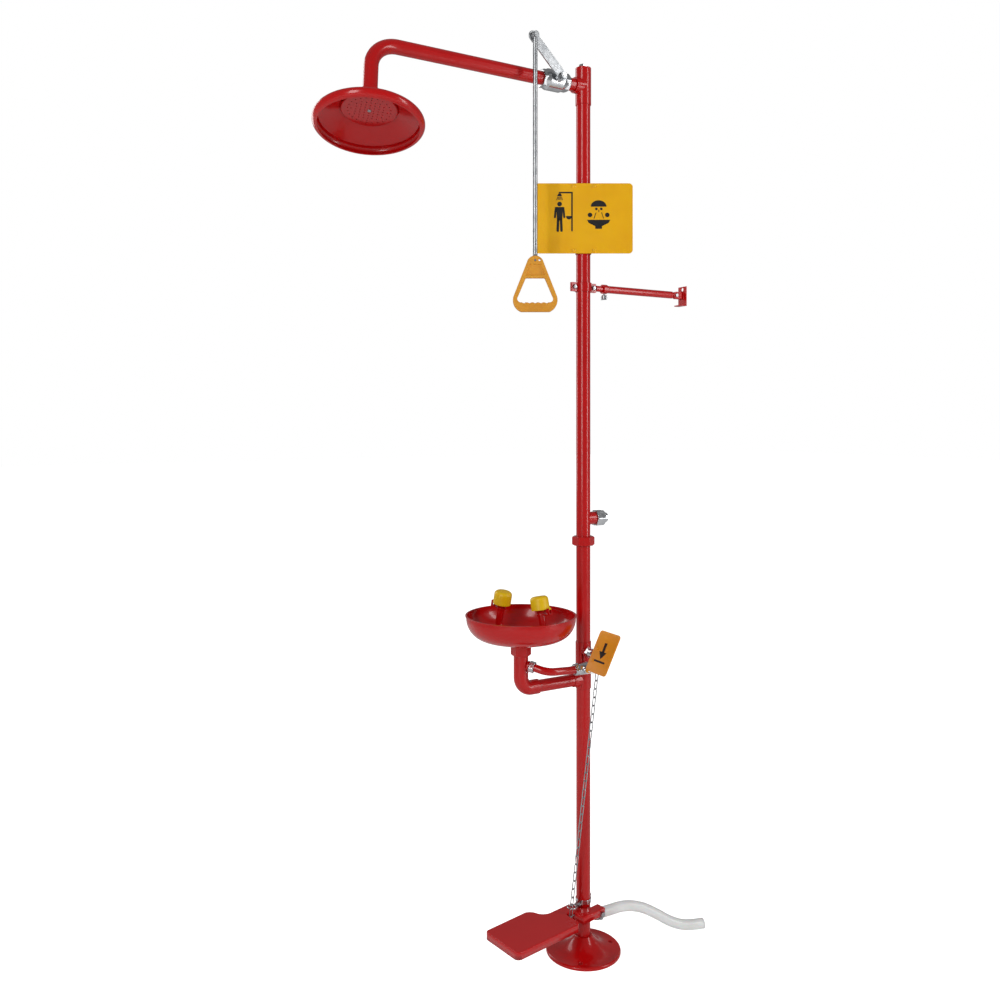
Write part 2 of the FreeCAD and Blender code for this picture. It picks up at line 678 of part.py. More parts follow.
def make_shower_head_shell():
    middle_r = HEAD_R - HEAD_ROLL_R
    middle_z = HEAD_DEPTH - HEAD_ROLL_R
    inner_roll = HEAD_ROLL_R - HEAD_WALL
    dome = turned([
        (12, 0), (22, 0), ((70, 33.5), (middle_r - 2, HEAD_CONE_Z)),
        ((HEAD_R, middle_z), (middle_r, HEAD_DEPTH)), (middle_r, HEAD_DEPTH - HEAD_WALL),
        ((middle_r + inner_roll, middle_z), (middle_r - 2, HEAD_CONE_Z + HEAD_WALL)),
        ((69.5, 33.5 + 1.2 * HEAD_WALL), (21, HEAD_WALL)), (12, HEAD_WALL)],
        drop_point(COLLAR_END), drop_axis())
    hub = tube(6, 2.1, drop_point(COLLAR_END - 4), drop_point(COLLAR_END + SPRAY_DEPTH))
    spokes = []
    for k in range(3):
        box = Part.makeBox(8.5, 2.5, HEAD_WALL + 2, V(4.5, -1.25, 0))
        box.rotate(ORIGIN, UP, 120 * k)
        box.Placement = FreeCAD.Placement(
            drop_point(COLLAR_END), FreeCAD.Rotation(UP, drop_axis())).multiply(box.Placement)
        spokes.append(box)
    return fused(dome, hub, *spokes)


def spray_hole_places():
    """Centres of the spray holes in the plate's own plane."""
    places = [direction(15 * k) * 50 for k in range(24)]
    step = 10.5
    for row in range(-4, 5):
        for column in range(-4, 5):
            spot = V(step * (row + column) / math.sqrt(2), step * (row - column) / math.sqrt(2), 0)
            if 9 < spot.Length < 43:
                places.append(spot)
    return places


def make_spray_plate():
    cup = turned([
        (2.7, SPRAY_DEPTH), (2.7, SPRAY_DEPTH + 2), (SPRAY_R - 2, SPRAY_DEPTH + 2), (SPRAY_R, SPRAY_DEPTH),
        (SPRAY_R, SPRAY_WALL_TOP), (SPRAY_R - 1.5, SPRAY_WALL_TOP), (SPRAY_R - 1.5, SPRAY_DEPTH)],
        ORIGIN, UP)
    drills = [cylinder(SPRAY_HOLE_R, spot + UP * (SPRAY_DEPTH - 1), spot + UP * (SPRAY_DEPTH + 3))
              for spot in spray_hole_places()]
    cup = cup.cut(group(drills))
    cup.Placement = FreeCAD.Placement(drop_point(COLLAR_END), FreeCAD.Rotation(UP, drop_axis()))
    return cup


def spray_plate_screw():
    return turned([
        (0, SPRAY_DEPTH - 14), (2, SPRAY_DEPTH - 14), (2, SPRAY_DEPTH + 2), (5, SPRAY_DEPTH + 2),
        (4, SPRAY_DEPTH + 4.2), (0, SPRAY_DEPTH + 5)], drop_point(COLLAR_END), drop_axis())


# ---------------------------------------------------------------- sign

def on_sign(side, z, ahead):
    """Point beside the column's axis: side to side, height, and ahead towards the viewer."""
    facing = direction(FACING_AZIMUTH)
    return UP.cross(facing) * side + facing * ahead + UP * z


def sign_screw_heights():
    return [SIGN_LOW_Z + SIGN_SCREW_INSET, SIGN_HIGH_Z - SIGN_SCREW_INSET]


def sign_back():
    return PIPE_R + SOCKET_GAP


def make_sign_plate():
    half = SIGN_WIDTH / 2
    low, high, r, b = SIGN_LOW_Z, SIGN_HIGH_Z, SIGN_CORNER_R, sign_back()
    k = r * (1 - math.sqrt(0.5))
    facing = direction(FACING_AZIMUTH)
    plate = prism([
        on_sign(-half + r, low, b), on_sign(half - r, low, b),
        (on_sign(half - k, low + k, b), on_sign(half, low + r, b)), on_sign(half, high - r, b),
        (on_sign(half - k, high - k, b), on_sign(half - r, high, b)), on_sign(-half + r, high, b),
        (on_sign(-half + k, high - k, b), on_sign(-half, high - r, b)), on_sign(-half, low + r, b),
        (on_sign(-half + k, low + k, b), on_sign(-half + r, low, b))], facing * SIGN_THICK)
    for z in sign_screw_heights():
        for side in (-SIGN_SCREW_SIDE, SIGN_SCREW_SIDE):
            hole = cylinder(SCREW_HOLE_R, on_sign(side, z, b - 1), on_sign(side, z, b + SIGN_THICK + 1))
            plate = plate.cut(hole)
    return plate


def make_sign_saddles():
    """Omega straps round the back of the column, screwed to the plate."""
    r = PIPE_R + SOCKET_GAP
    t = 2.0
    b = sign_back()
    ear = SIGN_SCREW_SIDE + 8
    straps = []
    for z in sign_screw_heights():
        low = z - 7.5
        strap = prism([
            on_sign(-ear, low, b), on_sign(-r, low, b), on_sign(-r, low, 0),
            (on_sign(0, low, -r), on_sign(r, low, 0)), on_sign(r, low, b), on_sign(ear, low, b),
            on_sign(ear, low, b - t), on_sign(r + t, low, b - t), on_sign(r + t, low, 0),
            (on_sign(0, low, -r - t), on_sign(-r - t, low, 0)), on_sign(-r - t, low, b - t),
            on_sign(-ear, low, b - t)], UP * 15)
        for side in (-SIGN_SCREW_SIDE, SIGN_SCREW_SIDE):
            strap = strap.cut(cylinder(SCREW_HOLE_R, on_sign(side, z, b - t - 1), on_sign(side, z, b + 1)))
        straps.append(strap)
    return group(straps)


def sign_screws():
    screws = []
    b = sign_back()
    facing = direction(FACING_AZIMUTH)
    for z in sign_screw_heights():
        for side in (-SIGN_SCREW_SIDE, SIGN_SCREW_SIDE):
            screws.append(turned([
                (0, 0), (SCREW_R, 0), (SCREW_R, 8 + SIGN_THICK), (5.5, 8 + SIGN_THICK),
                (5.0, 9.6 + SIGN_THICK), (3.0, 10.8 + SIGN_THICK), (0, 11.2 + SIGN_THICK)], on_sign(side,
                z, b - 8), facing))
    return screws


def make_panel_screws():
    return group(sign_screws() + [spray_plate_screw()])


# ---------------------------------------------------------------- wall stay

def make_stay_clamp():
    low = STAY_Z - STAY_CLAMP_HIGH / 2
    high = STAY_Z + STAY_CLAMP_HIGH / 2
    ring = tube(PIPE_R + 3.1, PIPE_R + SOCKET_GAP, V(0, 0, low), V(0, 0, high))
    halves = []
    for side in (1, -1):
        keep = Part.makeBox(60, 120, 60, V(1 if side > 0 else -61, -60, STAY_Z - 30))
        ears = [Part.makeBox(3, STAY_START_Y - PIPE_R - 1, STAY_CLAMP_HIGH, V(1 if side > 0 else -4, y, low))
                for y in (PIPE_R + 1, -STAY_START_Y)]
        half = fused(ring.common(keep), *ears)
        for y in (-STAY_BOLT_SIDE, STAY_BOLT_SIDE):
            half = half.cut(cylinder(STAY_PIN_R + SOCKET_GAP, V(-20, y, STAY_Z), V(20, y, STAY_Z)))
        halves.append(half)
    return group(halves)


def stay_clamp_bolts():
    bolts = []
    for y in (-STAY_BOLT_SIDE, STAY_BOLT_SIDE):
        bolts.append(fused(hex_bar(10, V(-8.5, y, STAY_Z), V(-4, y, STAY_Z)),
                           cylinder(STAY_PIN_R, V(-4, y, STAY_Z), V(11, y, STAY_Z)),
                           hex_bar(10, V(4, y, STAY_Z), V(9, y, STAY_Z))))
    return bolts


def make_stay_inner_tube():
    start = V(0, STAY_START_Y, STAY_Z)
    end = V(0, STAY_INNER_END_Y, STAY_Z)
    bar = tube(STAY_INNER_R, STAY_INNER_R - 1.5, start, end)
    return fused(bar, cylinder(STAY_INNER_R, start, start + TO_WALL * 3))


def make_stay_outer_tube():
    collar_start = V(0, STAY_COLLAR_Y, STAY_Z)
    collar_end = V(0, STAY_COLLAR_Y + STAY_COLLAR_LONG, STAY_Z)
    end = V(0, STAY_END_Y, STAY_Z)
    body = fused(cylinder(STAY_COLLAR_R, collar_start, collar_end), cylinder(STAY_OUTER_R, collar_start, end))
    body = body.cut(cylinder(STAY_BORE_R, collar_start, end - TO_WALL * 3))
    tongue = Part.makeBox(5, FOOT_PIVOT_Y + 8 - STAY_END_Y, 16, V(-2.5, STAY_END_Y, STAY_Z - 8))
    body = fused(body, tongue)
    body = body.cut(cylinder(STAY_PIN_R + PIN_GAP, V(-9, FOOT_PIVOT_Y, STAY_Z), V(9, FOOT_PIVOT_Y, STAY_Z)))
    middle = V(0, STAY_COLLAR_Y + STAY_COLLAR_LONG / 2, STAY_Z)
    return body.cut(cylinder(STAY_PIN_R + PIN_GAP, middle - UP * 20, middle))


def make_stay_lock_screw():
    middle = V(0, STAY_COLLAR_Y + STAY_COLLAR_LONG / 2, STAY_Z - STAY_INNER_R - 0.2)
    shank = cylinder(STAY_PIN_R, middle, middle - UP * 14)
    knob = turned([(0, 8), (6, 8), (7.5, 10), (7.5, 18), (6, 20), (0, 20)], middle, UP * -1)
    wings = Part.makeBox(26, 3, 11, V(-13, middle.y - 1.5, middle.z - 20))
    return fused(shank, knob, wings)


def make_stay_foot():
    ears = []
    for x in (2.9, -5.9):
        ear = fused(Part.makeBox(3, FOOT_FACE_Y - FOOT_PIVOT_Y - 3, 20, V(x, FOOT_PIVOT_Y, STAY_Z - 10)),
                    cylinder(10, V(x, FOOT_PIVOT_Y, STAY_Z), V(x + 3, FOOT_PIVOT_Y, STAY_Z)))
        ears.append(ear)
    face = Part.makeBox(34, 3, 56, V(-17, FOOT_FACE_Y - 3, STAY_Z - 30))
    lip = Part.makeBox(34, 15, 3, V(-17, FOOT_FACE_Y - 18, STAY_Z - 30))
    foot = fused(face, lip, *ears)
    hole = V(0, FOOT_FACE_Y, STAY_Z + 18)
    foot = foot.cut(cylinder(FOOT_HOLE_R, hole - TO_WALL * 4, hole + TO_WALL))
    return foot.cut(cylinder(STAY_PIN_R + PIN_GAP, V(-9, FOOT_PIVOT_Y, STAY_Z), V(9, FOOT_PIVOT_Y, STAY_Z)))


def make_stay_foot_pin():
    shank = cylinder(STAY_PIN_R, V(-8, FOOT_PIVOT_Y, STAY_Z), V(8, FOOT_PIVOT_Y, STAY_Z))
    return fused(shank, cylinder(5, V(-8.5, FOOT_PIVOT_Y, STAY_Z), V(-6, FOOT_PIVOT_Y, STAY_Z)),
                 cylinder(5, V(6, FOOT_PIVOT_Y, STAY_Z), V(8.5, FOOT_PIVOT_Y, STAY_Z)))


# ---------------------------------------------------------------- eyewash bowl and drain

def bowl_point(z, along=0.0):
    """Point over the bowl's axis, moved along the nozzle line."""
    return V(0, BOWL_Y, z) + direction(YOKE_YAW) * along


def bowl_bottom():
    return BOWL_RIM_Z - BOWL_DEPTH


def make_eyewash_bowl():
    z = bowl_bottom()
    w = BOWL_WALL
    outlet_low = ELBOW_TOP_Z - BOWL_OUTLET_LONG
    return turned([
        (BOWL_OUTLET_R, outlet_low), (BOWL_OUTLET_R, z - 9), (BOWL_OUTLET_R + 3, z - 9),
        (BOWL_OUTLET_R + 3, z),
        (98, z + 8), ((132.5, z + 32), (BOWL_R - 1, BOWL_RIM_Z - 3)), (BOWL_R + 1.5, BOWL_RIM_Z - 3),
        (BOWL_R + 1.5, BOWL_RIM_Z), (BOWL_R - w - 1, BOWL_RIM_Z),
        ((132.5 - w * 0.9, z + 33), (97.6, z + 8 + w)), (BOWL_OUTLET_R - w, z + w),
        (BOWL_OUTLET_R - w, outlet_low)], V(0, BOWL_Y, 0), UP)


def bowl_drain_nut():
    top = bowl_bottom() - 9
    nut = hex_bar(BOWL_NUT_FLATS, V(0, BOWL_Y, ELBOW_TOP_Z), V(0, BOWL_Y, top), direction(FACING_AZIMUTH))
    return nut.cut(cylinder(BOWL_OUTLET_R + SOCKET_GAP, V(0, BOWL_Y, ELBOW_TOP_Z - 1), V(0, BOWL_Y, top + 1)))


def supply_entry():
    return V(0, BOWL_Y, SUPPLY_ENTRY_Z)


def supply_outward():
    """Direction from the bowl's axis out along the last run of the supply pipe."""
    return (SUPPLY_CORNER - supply_entry()).normalize()


def make_drain_elbow():
    path = [V(0, BOWL_Y, ELBOW_TOP_Z), V(0, BOWL_Y, DRAIN_Z), V(0, BOWL_Y + 52, DRAIN_Z)]
    elbow = bent_tube(ELBOW_R, DRAIN_PIPE_R + SOCKET_GAP, path, [ELBOW_BEND_R])
    top = V(0, BOWL_Y, ELBOW_TOP_Z)
    elbow = elbow.cut(cylinder(BOWL_OUTLET_R + SOCKET_GAP, top - UP * BOWL_OUTLET_LONG, top))
    entry = supply_entry()
    out = supply_outward()
    boss = cylinder(YOKE_R + 3, entry + out * (DRAIN_PIPE_R + 2), entry + out * NUT_START)
    elbow = fused(elbow, boss)
    return elbow.cut(cylinder(YOKE_THREAD_R + SOCKET_GAP, entry, entry + out * 30))


def make_drain_pipe():
    start = V(0, BOWL_Y + 38, DRAIN_Z)
    return tube(DRAIN_PIPE_R, DRAIN_PIPE_R - DRAIN_PIPE_WALL, start, V(0, -PIPE_R, DRAIN_Z))


def nozzle_foot(side):
    """Where the yoke's arm turns up into a nozzle's stem."""
    return bowl_point(YOKE_Z, side * (NOZZLE_HALF + NOZZLE_SPLAY))


def nozzle_axis(side):
    """Axis of a nozzle, leaning towards the bowl's centre."""
    head = bowl_point(NOZZLE_Z, side * NOZZLE_HALF)
    return (head - nozzle_foot(side)).normalize()


def nozzle_point(side, distance):
    """Point on a nozzle's axis, counted from the nozzle's centre."""
    return bowl_point(NOZZLE_Z, side * NOZZLE_HALF) + nozzle_axis(side) * distance


def make_nozzle_yoke():
    entry = supply_entry()
    stub = cylinder(YOKE_THREAD_R, entry, supply_end())
    riser = fused(cylinder(YOKE_THREAD_R, entry - UP * 3, bowl_point(YOKE_Z)), stub)
    arms = []
    for side in (-1, 1):
        points = [bowl_point(YOKE_Z), nozzle_foot(side), nozzle_point(side, -NOZZLE_NECK)]
        path = bent_path(points, [YOKE_BEND_R])
        arms.append(swept(YOKE_R, path))
    return fused(riser, *arms)


def make_nozzle_heads():
    heads = []
    for side in (-1, 1):
        heads.append(turned([
            (0, -NOZZLE_NECK), (YOKE_R + 2, -NOZZLE_NECK), (YOKE_R + 4, -2), (CAP_R - 5, 2), (CAP_R - 5, 10),
            (CAP_R - 8, 12), (CAP_R - 8, 9), (0, 9)], nozzle_point(side, 0), nozzle_axis(side)))
    return group(heads)


def cap_hinge(side):
    """Point on a cap's hinge pin, and the pin's direction."""
    outward = direction(YOKE_YAW) * side
    across = direction(YOKE_YAW + 90)
    axis = nozzle_axis(side)
    away = across.cross(axis).normalize()
    if away.dot(outward) < 0:
        away = away * -1
    return nozzle_point(side, 1) + away * (CAP_R + HINGE_OUT), across


def dust_cap(side):
    base = nozzle_point(side, 0)
    axis = nozzle_axis(side)
    inner = CAP_R - CAP_WALL
    cap = turned([
        (CAP_R, 1), (CAP_R, CAP_HIGH - 9), ((CAP_R - 2.8, CAP_HIGH - 2.8), (CAP_R - 9, CAP_HIGH)),
        (0, CAP_HIGH + 1), (0, CAP_HIGH - 1.5), (inner - 6, CAP_HIGH - CAP_WALL), (inner, CAP_HIGH - 9),
        (inner, 1)], base, axis)
    pivot, across = cap_hinge(side)
    inward = (base + axis - pivot).normalize()
    barrel = tube(2 * HINGE_PIN_R, HINGE_PIN_R + SOCKET_GAP, pivot - across * 4, pivot + across * 4)
    tab = Part.makeBox(4.4, 8, 3, V(1.4, -4, 0))
    tab = placed(tab, pivot, inward, axis)
    tab = tab.cut(cylinder(HINGE_PIN_R + SOCKET_GAP, pivot - across * 6, pivot + across * 6))
    return fused(cap, tab.cut(cylinder(inner, base - axis * 5, base + axis * 20)), barrel)


def make_dust_cap_left():
    return dust_cap(-1)


def make_dust_cap_right():
    return dust_cap(1)


def make_cap_hinge_forks():
    """Two forked brackets, each clipped round a stem and holding its cap's hinge pin."""
    forks = []
    for side in (-1, 1):
        axis = nozzle_axis(side)
        pivot, across = cap_hinge(side)
        base = nozzle_point(side, 0)
        inward = (base + axis - pivot).normalize()
        low = base - axis * 14
        ring = tube(YOKE_R + 3, YOKE_R + SOCKET_GAP, low, low + axis * 5)
        arm = Part.makeBox(CAP_R + HINGE_OUT - YOKE_R + 0.5, 14, 3, V(-2, -7, -15))
        arm = placed(arm, pivot, inward, axis)
        cheeks = []
        for y in (4.4, -7):
            cheek = Part.makeBox(5.6, 2.6, 16.6, V(-2.8, y, -14.5))
            cheeks.append(placed(cheek, pivot, inward, axis))
        pin = cylinder(HINGE_PIN_R, pivot - across * 7, pivot + across * 7)
        forks.append(fused(ring, arm, pin, *cheeks))
    return group(forks)


# ---------------------------------------------------------------- eyewash supply

def make_outlet_nipple():
    end = SLEEVE_R + 3
    hexagon = hex_bar(24, V(end, 0, OUTLET_Z), V(end + 10, 0, OUTLET_Z))
    thread = cylinder(SUPPLY_R, V(PIPE_BORE_R + 1, 0, OUTLET_Z), V(end, 0, OUTLET_Z))
    body = fused(hexagon, thread)
    return body.cut(cylinder(SUPPLY_BORE_R, V(0, 0, OUTLET_Z), V(end + 12, 0, OUTLET_Z)))


def make_outlet_elbows():
    start = V(SLEEVE_R + 13, 0, OUTLET_Z)
    path = [start, V(SUPPLY_X, 0, OUTLET_Z), V(SUPPLY_X, 0, SUPPLY_Z),
            V(SUPPLY_X, EYE_VALVE_Y + EYE_VALVE_HALF, SUPPLY_Z)]
    elbows = bent_tube(11.5, SUPPLY_BORE_R, path, [11.8, 11.8])
    end = path[-1]
    return fused(elbows, tube(SUPPLY_R - 0.5, SUPPLY_BORE_R, end, end - TO_WALL * 8))


def make_eyewash_valve_body():
    centre = V(SUPPLY_X, EYE_VALVE_Y, SUPPLY_Z)
    body = valve_body(centre, EYE_VALVE_HALF, EYE_VALVE_R, EYE_VALVE_FLATS, EYE_PORT_R, EYE_CHAMBER_R,
                      EYE_SEAT_FAR, SUPPLY_R + SOCKET_GAP)
    body = fused(body, cylinder(8, centre + LEFT_RIGHT * 12, centre + LEFT_RIGHT * 19))
    return body.cut(cylinder(EYE_STEM_R + SOCKET_GAP, centre, centre + LEFT_RIGHT * 20))


def make_eyewash_valve_ball():
    return ball(V(SUPPLY_X, EYE_VALVE_Y, SUPPLY_Z), EYE_BALL_R, EYE_PORT_R - 0.5)


def make_eyewash_valve_stem():
    centre = V(SUPPLY_X, EYE_VALVE_Y, SUPPLY_Z)
    return stem(centre, EYE_BALL_R, EYE_STEM_R, BRACKET_X - SUPPLY_X, EYE_STEM_THREAD_R,
                BRACKET_X + BRACKET_THICK + 6 - SUPPLY_X)


def supply_end():
    return supply_entry() + supply_outward() * (NUT_START + 4)


def make_eyewash_supply_pipe():
    start = V(SUPPLY_X, EYE_VALVE_Y - EYE_VALVE_HALF + 8, SUPPLY_Z)
    points = [start, V(SUPPLY_X, start.y - 22, SUPPLY_Z), SUPPLY_CORNER, supply_end()]
    return bent_tube(SUPPLY_R, SUPPLY_BORE_R, points, [120.0, 48.0])


def supply_union_nut():
    start = supply_entry() + supply_outward() * NUT_START
    end = start + supply_outward() * 14
    nut = hex_bar(26, start, end)
    nut = nut.cut(cylinder(YOKE_THREAD_R + SOCKET_GAP, start, supply_end()))
    return nut.cut(cylinder(SUPPLY_R + SOCKET_GAP, supply_end(), end + supply_outward()))


def make_eyewash_nuts():
    return group([bowl_drain_nut(), supply_union_nut()])


# ---------------------------------------------------------------- push plate

def plate_up():
    return direction(90, 90 - PLATE_LEAN)


def plate_front():
    return direction(-90, PLATE_LEAN)


def plate_point(across, up, behind=0.0):
    """Point of the push plate, from its front lower corner nearest the column."""
    return V(PLATE_NEAR_X, PLATE_FOOT_Y, PLATE_FOOT_Z) + LEFT_RIGHT * across + plate_up() * up \
        - plate_front() * behind


def plate_screw_places():
    return [(14.0, 30.0), (14.0, 62.0)]


def make_push_plate():
    r = 9.0
    k = r * (1 - math.sqrt(0.5))
    w = PLATE_WIDTH
    n = PLATE_LENGTH
    plate = prism([
        plate_point(r, 0), plate_point(w - r, 0), (plate_point(w - k, k), plate_point(w, r)),
        plate_point(w, n - r), (plate_point(w - k, n - k), plate_point(w - r, n)),
        plate_point(r, n), (plate_point(k, n - k), plate_point(0, n - r)), plate_point(0, r),
        (plate_point(k, k), plate_point(r, 0))], plate_front() * -PLATE_THICK)
    for across, up in plate_screw_places():
        hole = cylinder(SCREW_HOLE_R, plate_point(across, up, -1), plate_point(across, up, PLATE_THICK + 1))
        plate = plate.cut(hole)
    return plate


def push_screws():
    screws = []
    for across, up in plate_screw_places():
        base = plate_point(across, up, PLATE_THICK + 6)
        screws.append(turned([
            (0, 0), (SCREW_R, 0), (SCREW_R, 6 + PLATE_THICK), (5.0, 6 + PLATE_THICK),
            (4.4, 7.6 + PLATE_THICK), (0, 8.6 + PLATE_THICK)], base, plate_front()))
    return screws


def chain_eye():
    return V(BRACKET_X + BRACKET_THICK / 2, EYE_Y, EYE_Z)


def make_push_bracket():
    """Web beside the valve with a hub on the stem, an arm to the chain and a flange under the plate."""
    run = LEFT_RIGHT * BRACKET_THICK
    hub = V(BRACKET_X, EYE_VALVE_Y, SUPPLY_Z)
    eye = V(BRACKET_X, EYE_Y, EYE_Z)
    behind = PLATE_THICK
    on_web = LEFT_RIGHT * (BRACKET_X - PLATE_NEAR_X)
    web = prism([plate_point(0, 6, behind + 3) + on_web, plate_point(0, 78, behind) + on_web,
                 plate_point(0, 78, behind + 12) + on_web, plate_point(0, 22, behind + 22) + on_web], run)
    web = fused(web, cylinder(9, hub, hub + run), cylinder(6, eye, eye + run))
    arm_side = (eye - hub).normalize().cross(LEFT_RIGHT)
    arm = prism([hub + arm_side * 8, eye + arm_side * 5.5, eye - arm_side * 5.5, hub - arm_side * 8], run)
    flange = prism([plate_point(-3, 18, behind), plate_point(26, 18, behind), plate_point(26, 76, behind),
                    plate_point(-3, 76, behind)], plate_front() * -BRACKET_THICK)
    body = fused(web, arm, flange)
    body = body.cut(cylinder(EYE_STEM_THREAD_R + PIN_GAP, hub - run, hub + run * 2))
    body = body.cut(cylinder(EYE_HOLE_R, eye - run, eye + run * 2))
    for across, up in plate_screw_places():
        hole = cylinder(SCREW_HOLE_R, plate_point(across, up, behind - 1), plate_point(across, up,
        behind + 5))
        body = body.cut(hole)
    return body


def push_bracket_nut():
    start = V(BRACKET_X + BRACKET_THICK, EYE_VALVE_Y, SUPPLY_Z)
    nut = hex_bar(12, start, start + LEFT_RIGHT * 5)
    return nut.cut(cylinder(EYE_STEM_THREAD_R + PIN_GAP, start, start + LEFT_RIGHT * 6))


def make_push_fasteners():
    return group([push_bracket_nut()] + push_screws())


# ---------------------------------------------------------------- pedal

def pedal_point(lateral, along, z):
    """Point in the pedal's own frame: side to side, and forward from the column's axis."""
    side = direction(PEDAL_YAW)
    forward = direction(PEDAL_YAW - 90)
    return side * lateral + forward * along + UP * z


def pedal_outline(z):
    p = pedal_point
    deep = CHAIN_PIN_LATERAL - NOTCH_DEEP
    near = CHAIN_PIN_ALONG - NOTCH_NEAR
    far = CHAIN_PIN_ALONG + NOTCH_FAR
    middle = (near + far) / 2
    corner = deep + 8
    back = PEDAL_PIVOT_ALONG - 12

    def arc(angle):
        clear = PIPE_R + PEDAL_CLEARANCE
        return p(clear * math.cos(math.radians(angle)), clear * math.sin(math.radians(angle)), z)

    return [
        p(54, back, z), p(54, near, z), p(corner, near, z), (p(deep, middle, z), p(corner, far, z)),
        p(60, far, z),
        p(69, far + 12, z), p(68, 281, z), (p(64, 291, z), p(55, 295, z)), p(-52, 291, z),
        (p(-61, 287, z), p(-64, 278, z)), p(-66, 152, z), (p(-58, 138, z), p(-44, 130, z)),
        (p(-28, 119, z), p(-22, 98, z)), p(-22, 25, z), arc(122), (arc(61), arc(0)),
        p(PIPE_R + PEDAL_CLEARANCE, back, z)]


def chain_pin(radius):
    """Pin across the slot, through the pedal's sheet on both sides."""
    start = CHAIN_PIN_ALONG - NOTCH_NEAR - PEDAL_SHEET - 0.5
    end = CHAIN_PIN_ALONG + NOTCH_FAR + PEDAL_SHEET + 0.5
    return cylinder(radius, pedal_point(CHAIN_PIN_LATERAL, start, CHAIN_PIN_Z),
                    pedal_point(CHAIN_PIN_LATERAL, end, CHAIN_PIN_Z))


def make_foot_pedal():
    low = PEDAL_TOP_Z - PEDAL_SKIRT
    face = Part.Face(outline(pedal_outline(low)))
    body = face.extrude(UP * PEDAL_SKIRT)
    inner = face.makeOffset2D(-PEDAL_SHEET)
    hollow = inner.extrude(UP * (PEDAL_SKIRT - PEDAL_SHEET))
    body = body.cut(hollow)
    bolt_start = pedal_point(20, PEDAL_PIVOT_ALONG, PEDAL_PIVOT_Z)
    bolt_end = pedal_point(60, PEDAL_PIVOT_ALONG, PEDAL_PIVOT_Z)
    body = body.cut(cylinder(PEDAL_BOLT_R + PIN_GAP, bolt_start, bolt_end))
    return body.cut(chain_pin(CHAIN_PIN_R + PIN_GAP))


def pedal_chain_pin():
    return chain_pin(CHAIN_PIN_R)


def pedal_pivot_bolt():
    z = PEDAL_PIVOT_Z
    a = PEDAL_PIVOT_ALONG
    return fused(cylinder(PEDAL_BOLT_R, pedal_point(22, a, z), pedal_point(58, a, z)),
                 hex_bar(13, pedal_point(54.1, a, z), pedal_point(60, a, z)),
                 cylinder(PEDAL_BOLT_R + 2, pedal_point(23.2, a, z), pedal_point(26.9, a, z)))


def make_pedal_pins():
    return group([pedal_pivot_bolt(), pedal_chain_pin()])


def make_pedal_bracket():
    """Collar welded round the post, with a lug that holds the pedal's bolt."""
    low = PEDAL_PIVOT_Z - 15
    collar = tube(PIPE_R + 4, PIPE_R + SOCKET_GAP, V(0, 0, low), V(0, 0, low + PEDAL_COLLAR_HIGH))
    a = PEDAL_PIVOT_ALONG
    tongue = prism([pedal_point(15, a + 8, low), pedal_point(15, a - 8, low), pedal_point(42, a - 8, low),
                    pedal_point(42, a + 8, low)], UP * 5)
    tongue = tongue.cut(cylinder(PIPE_R + SOCKET_GAP, V(0, 0, low - 1), V(0, 0, low + 9)))
    lug = prism([pedal_point(34, a + 8, low), pedal_point(34, a - 8, low), pedal_point(42, a - 8, low),
                 pedal_point(42, a + 8, low)], UP * 15)
    lug = fused(lug, cylinder(8, pedal_point(34, a, PEDAL_PIVOT_Z), pedal_point(42, a, PEDAL_PIVOT_Z)))
    body = fused(collar, tongue, lug)
    return body.cut(cylinder(PEDAL_BOLT_R + 0.06, pedal_point(30, a, PEDAL_PIVOT_Z),
                             pedal_point(46, a, PEDAL_PIVOT_Z)))


# ---------------------------------------------------------------- chain and its guide

def chain_link(start, end, across, width=CHAIN_WIDTH):
    """One link whose end wires hook at the two points, lying in the plane of the across vector."""
    run = end - start
    inner = run.Length + CHAIN_SLACK
    bend = (width - 2 * CHAIN_WIRE_R) / 2
    half = inner / 2 + CHAIN_WIRE_R - bend
    path = Part.Wire([
        Part.LineSegment(V(bend, 0, -half), V(bend, 0, half)).toShape(),
        Part.Arc(V(bend, 0, half), V(0, 0, half + bend), V(-bend, 0, half)).toShape(),
        Part.LineSegment(V(-bend, 0, half), V(-bend, 0, -half)).toShape(),
        Part.Arc(V(-bend, 0, -half), V(0, 0, -half - bend), V(bend, 0, -half)).toShape()])
    ring = Part.Wire([Part.Circle(V(bend, 0, -half), UP, CHAIN_WIRE_R).toShape()])
    link = path.makePipeShell([ring], True, False)
    return placed(link, (start + end) / 2, across, run)


def chain_pin_place():
    return pedal_point(CHAIN_PIN_LATERAL, CHAIN_PIN_ALONG, CHAIN_PIN_Z)


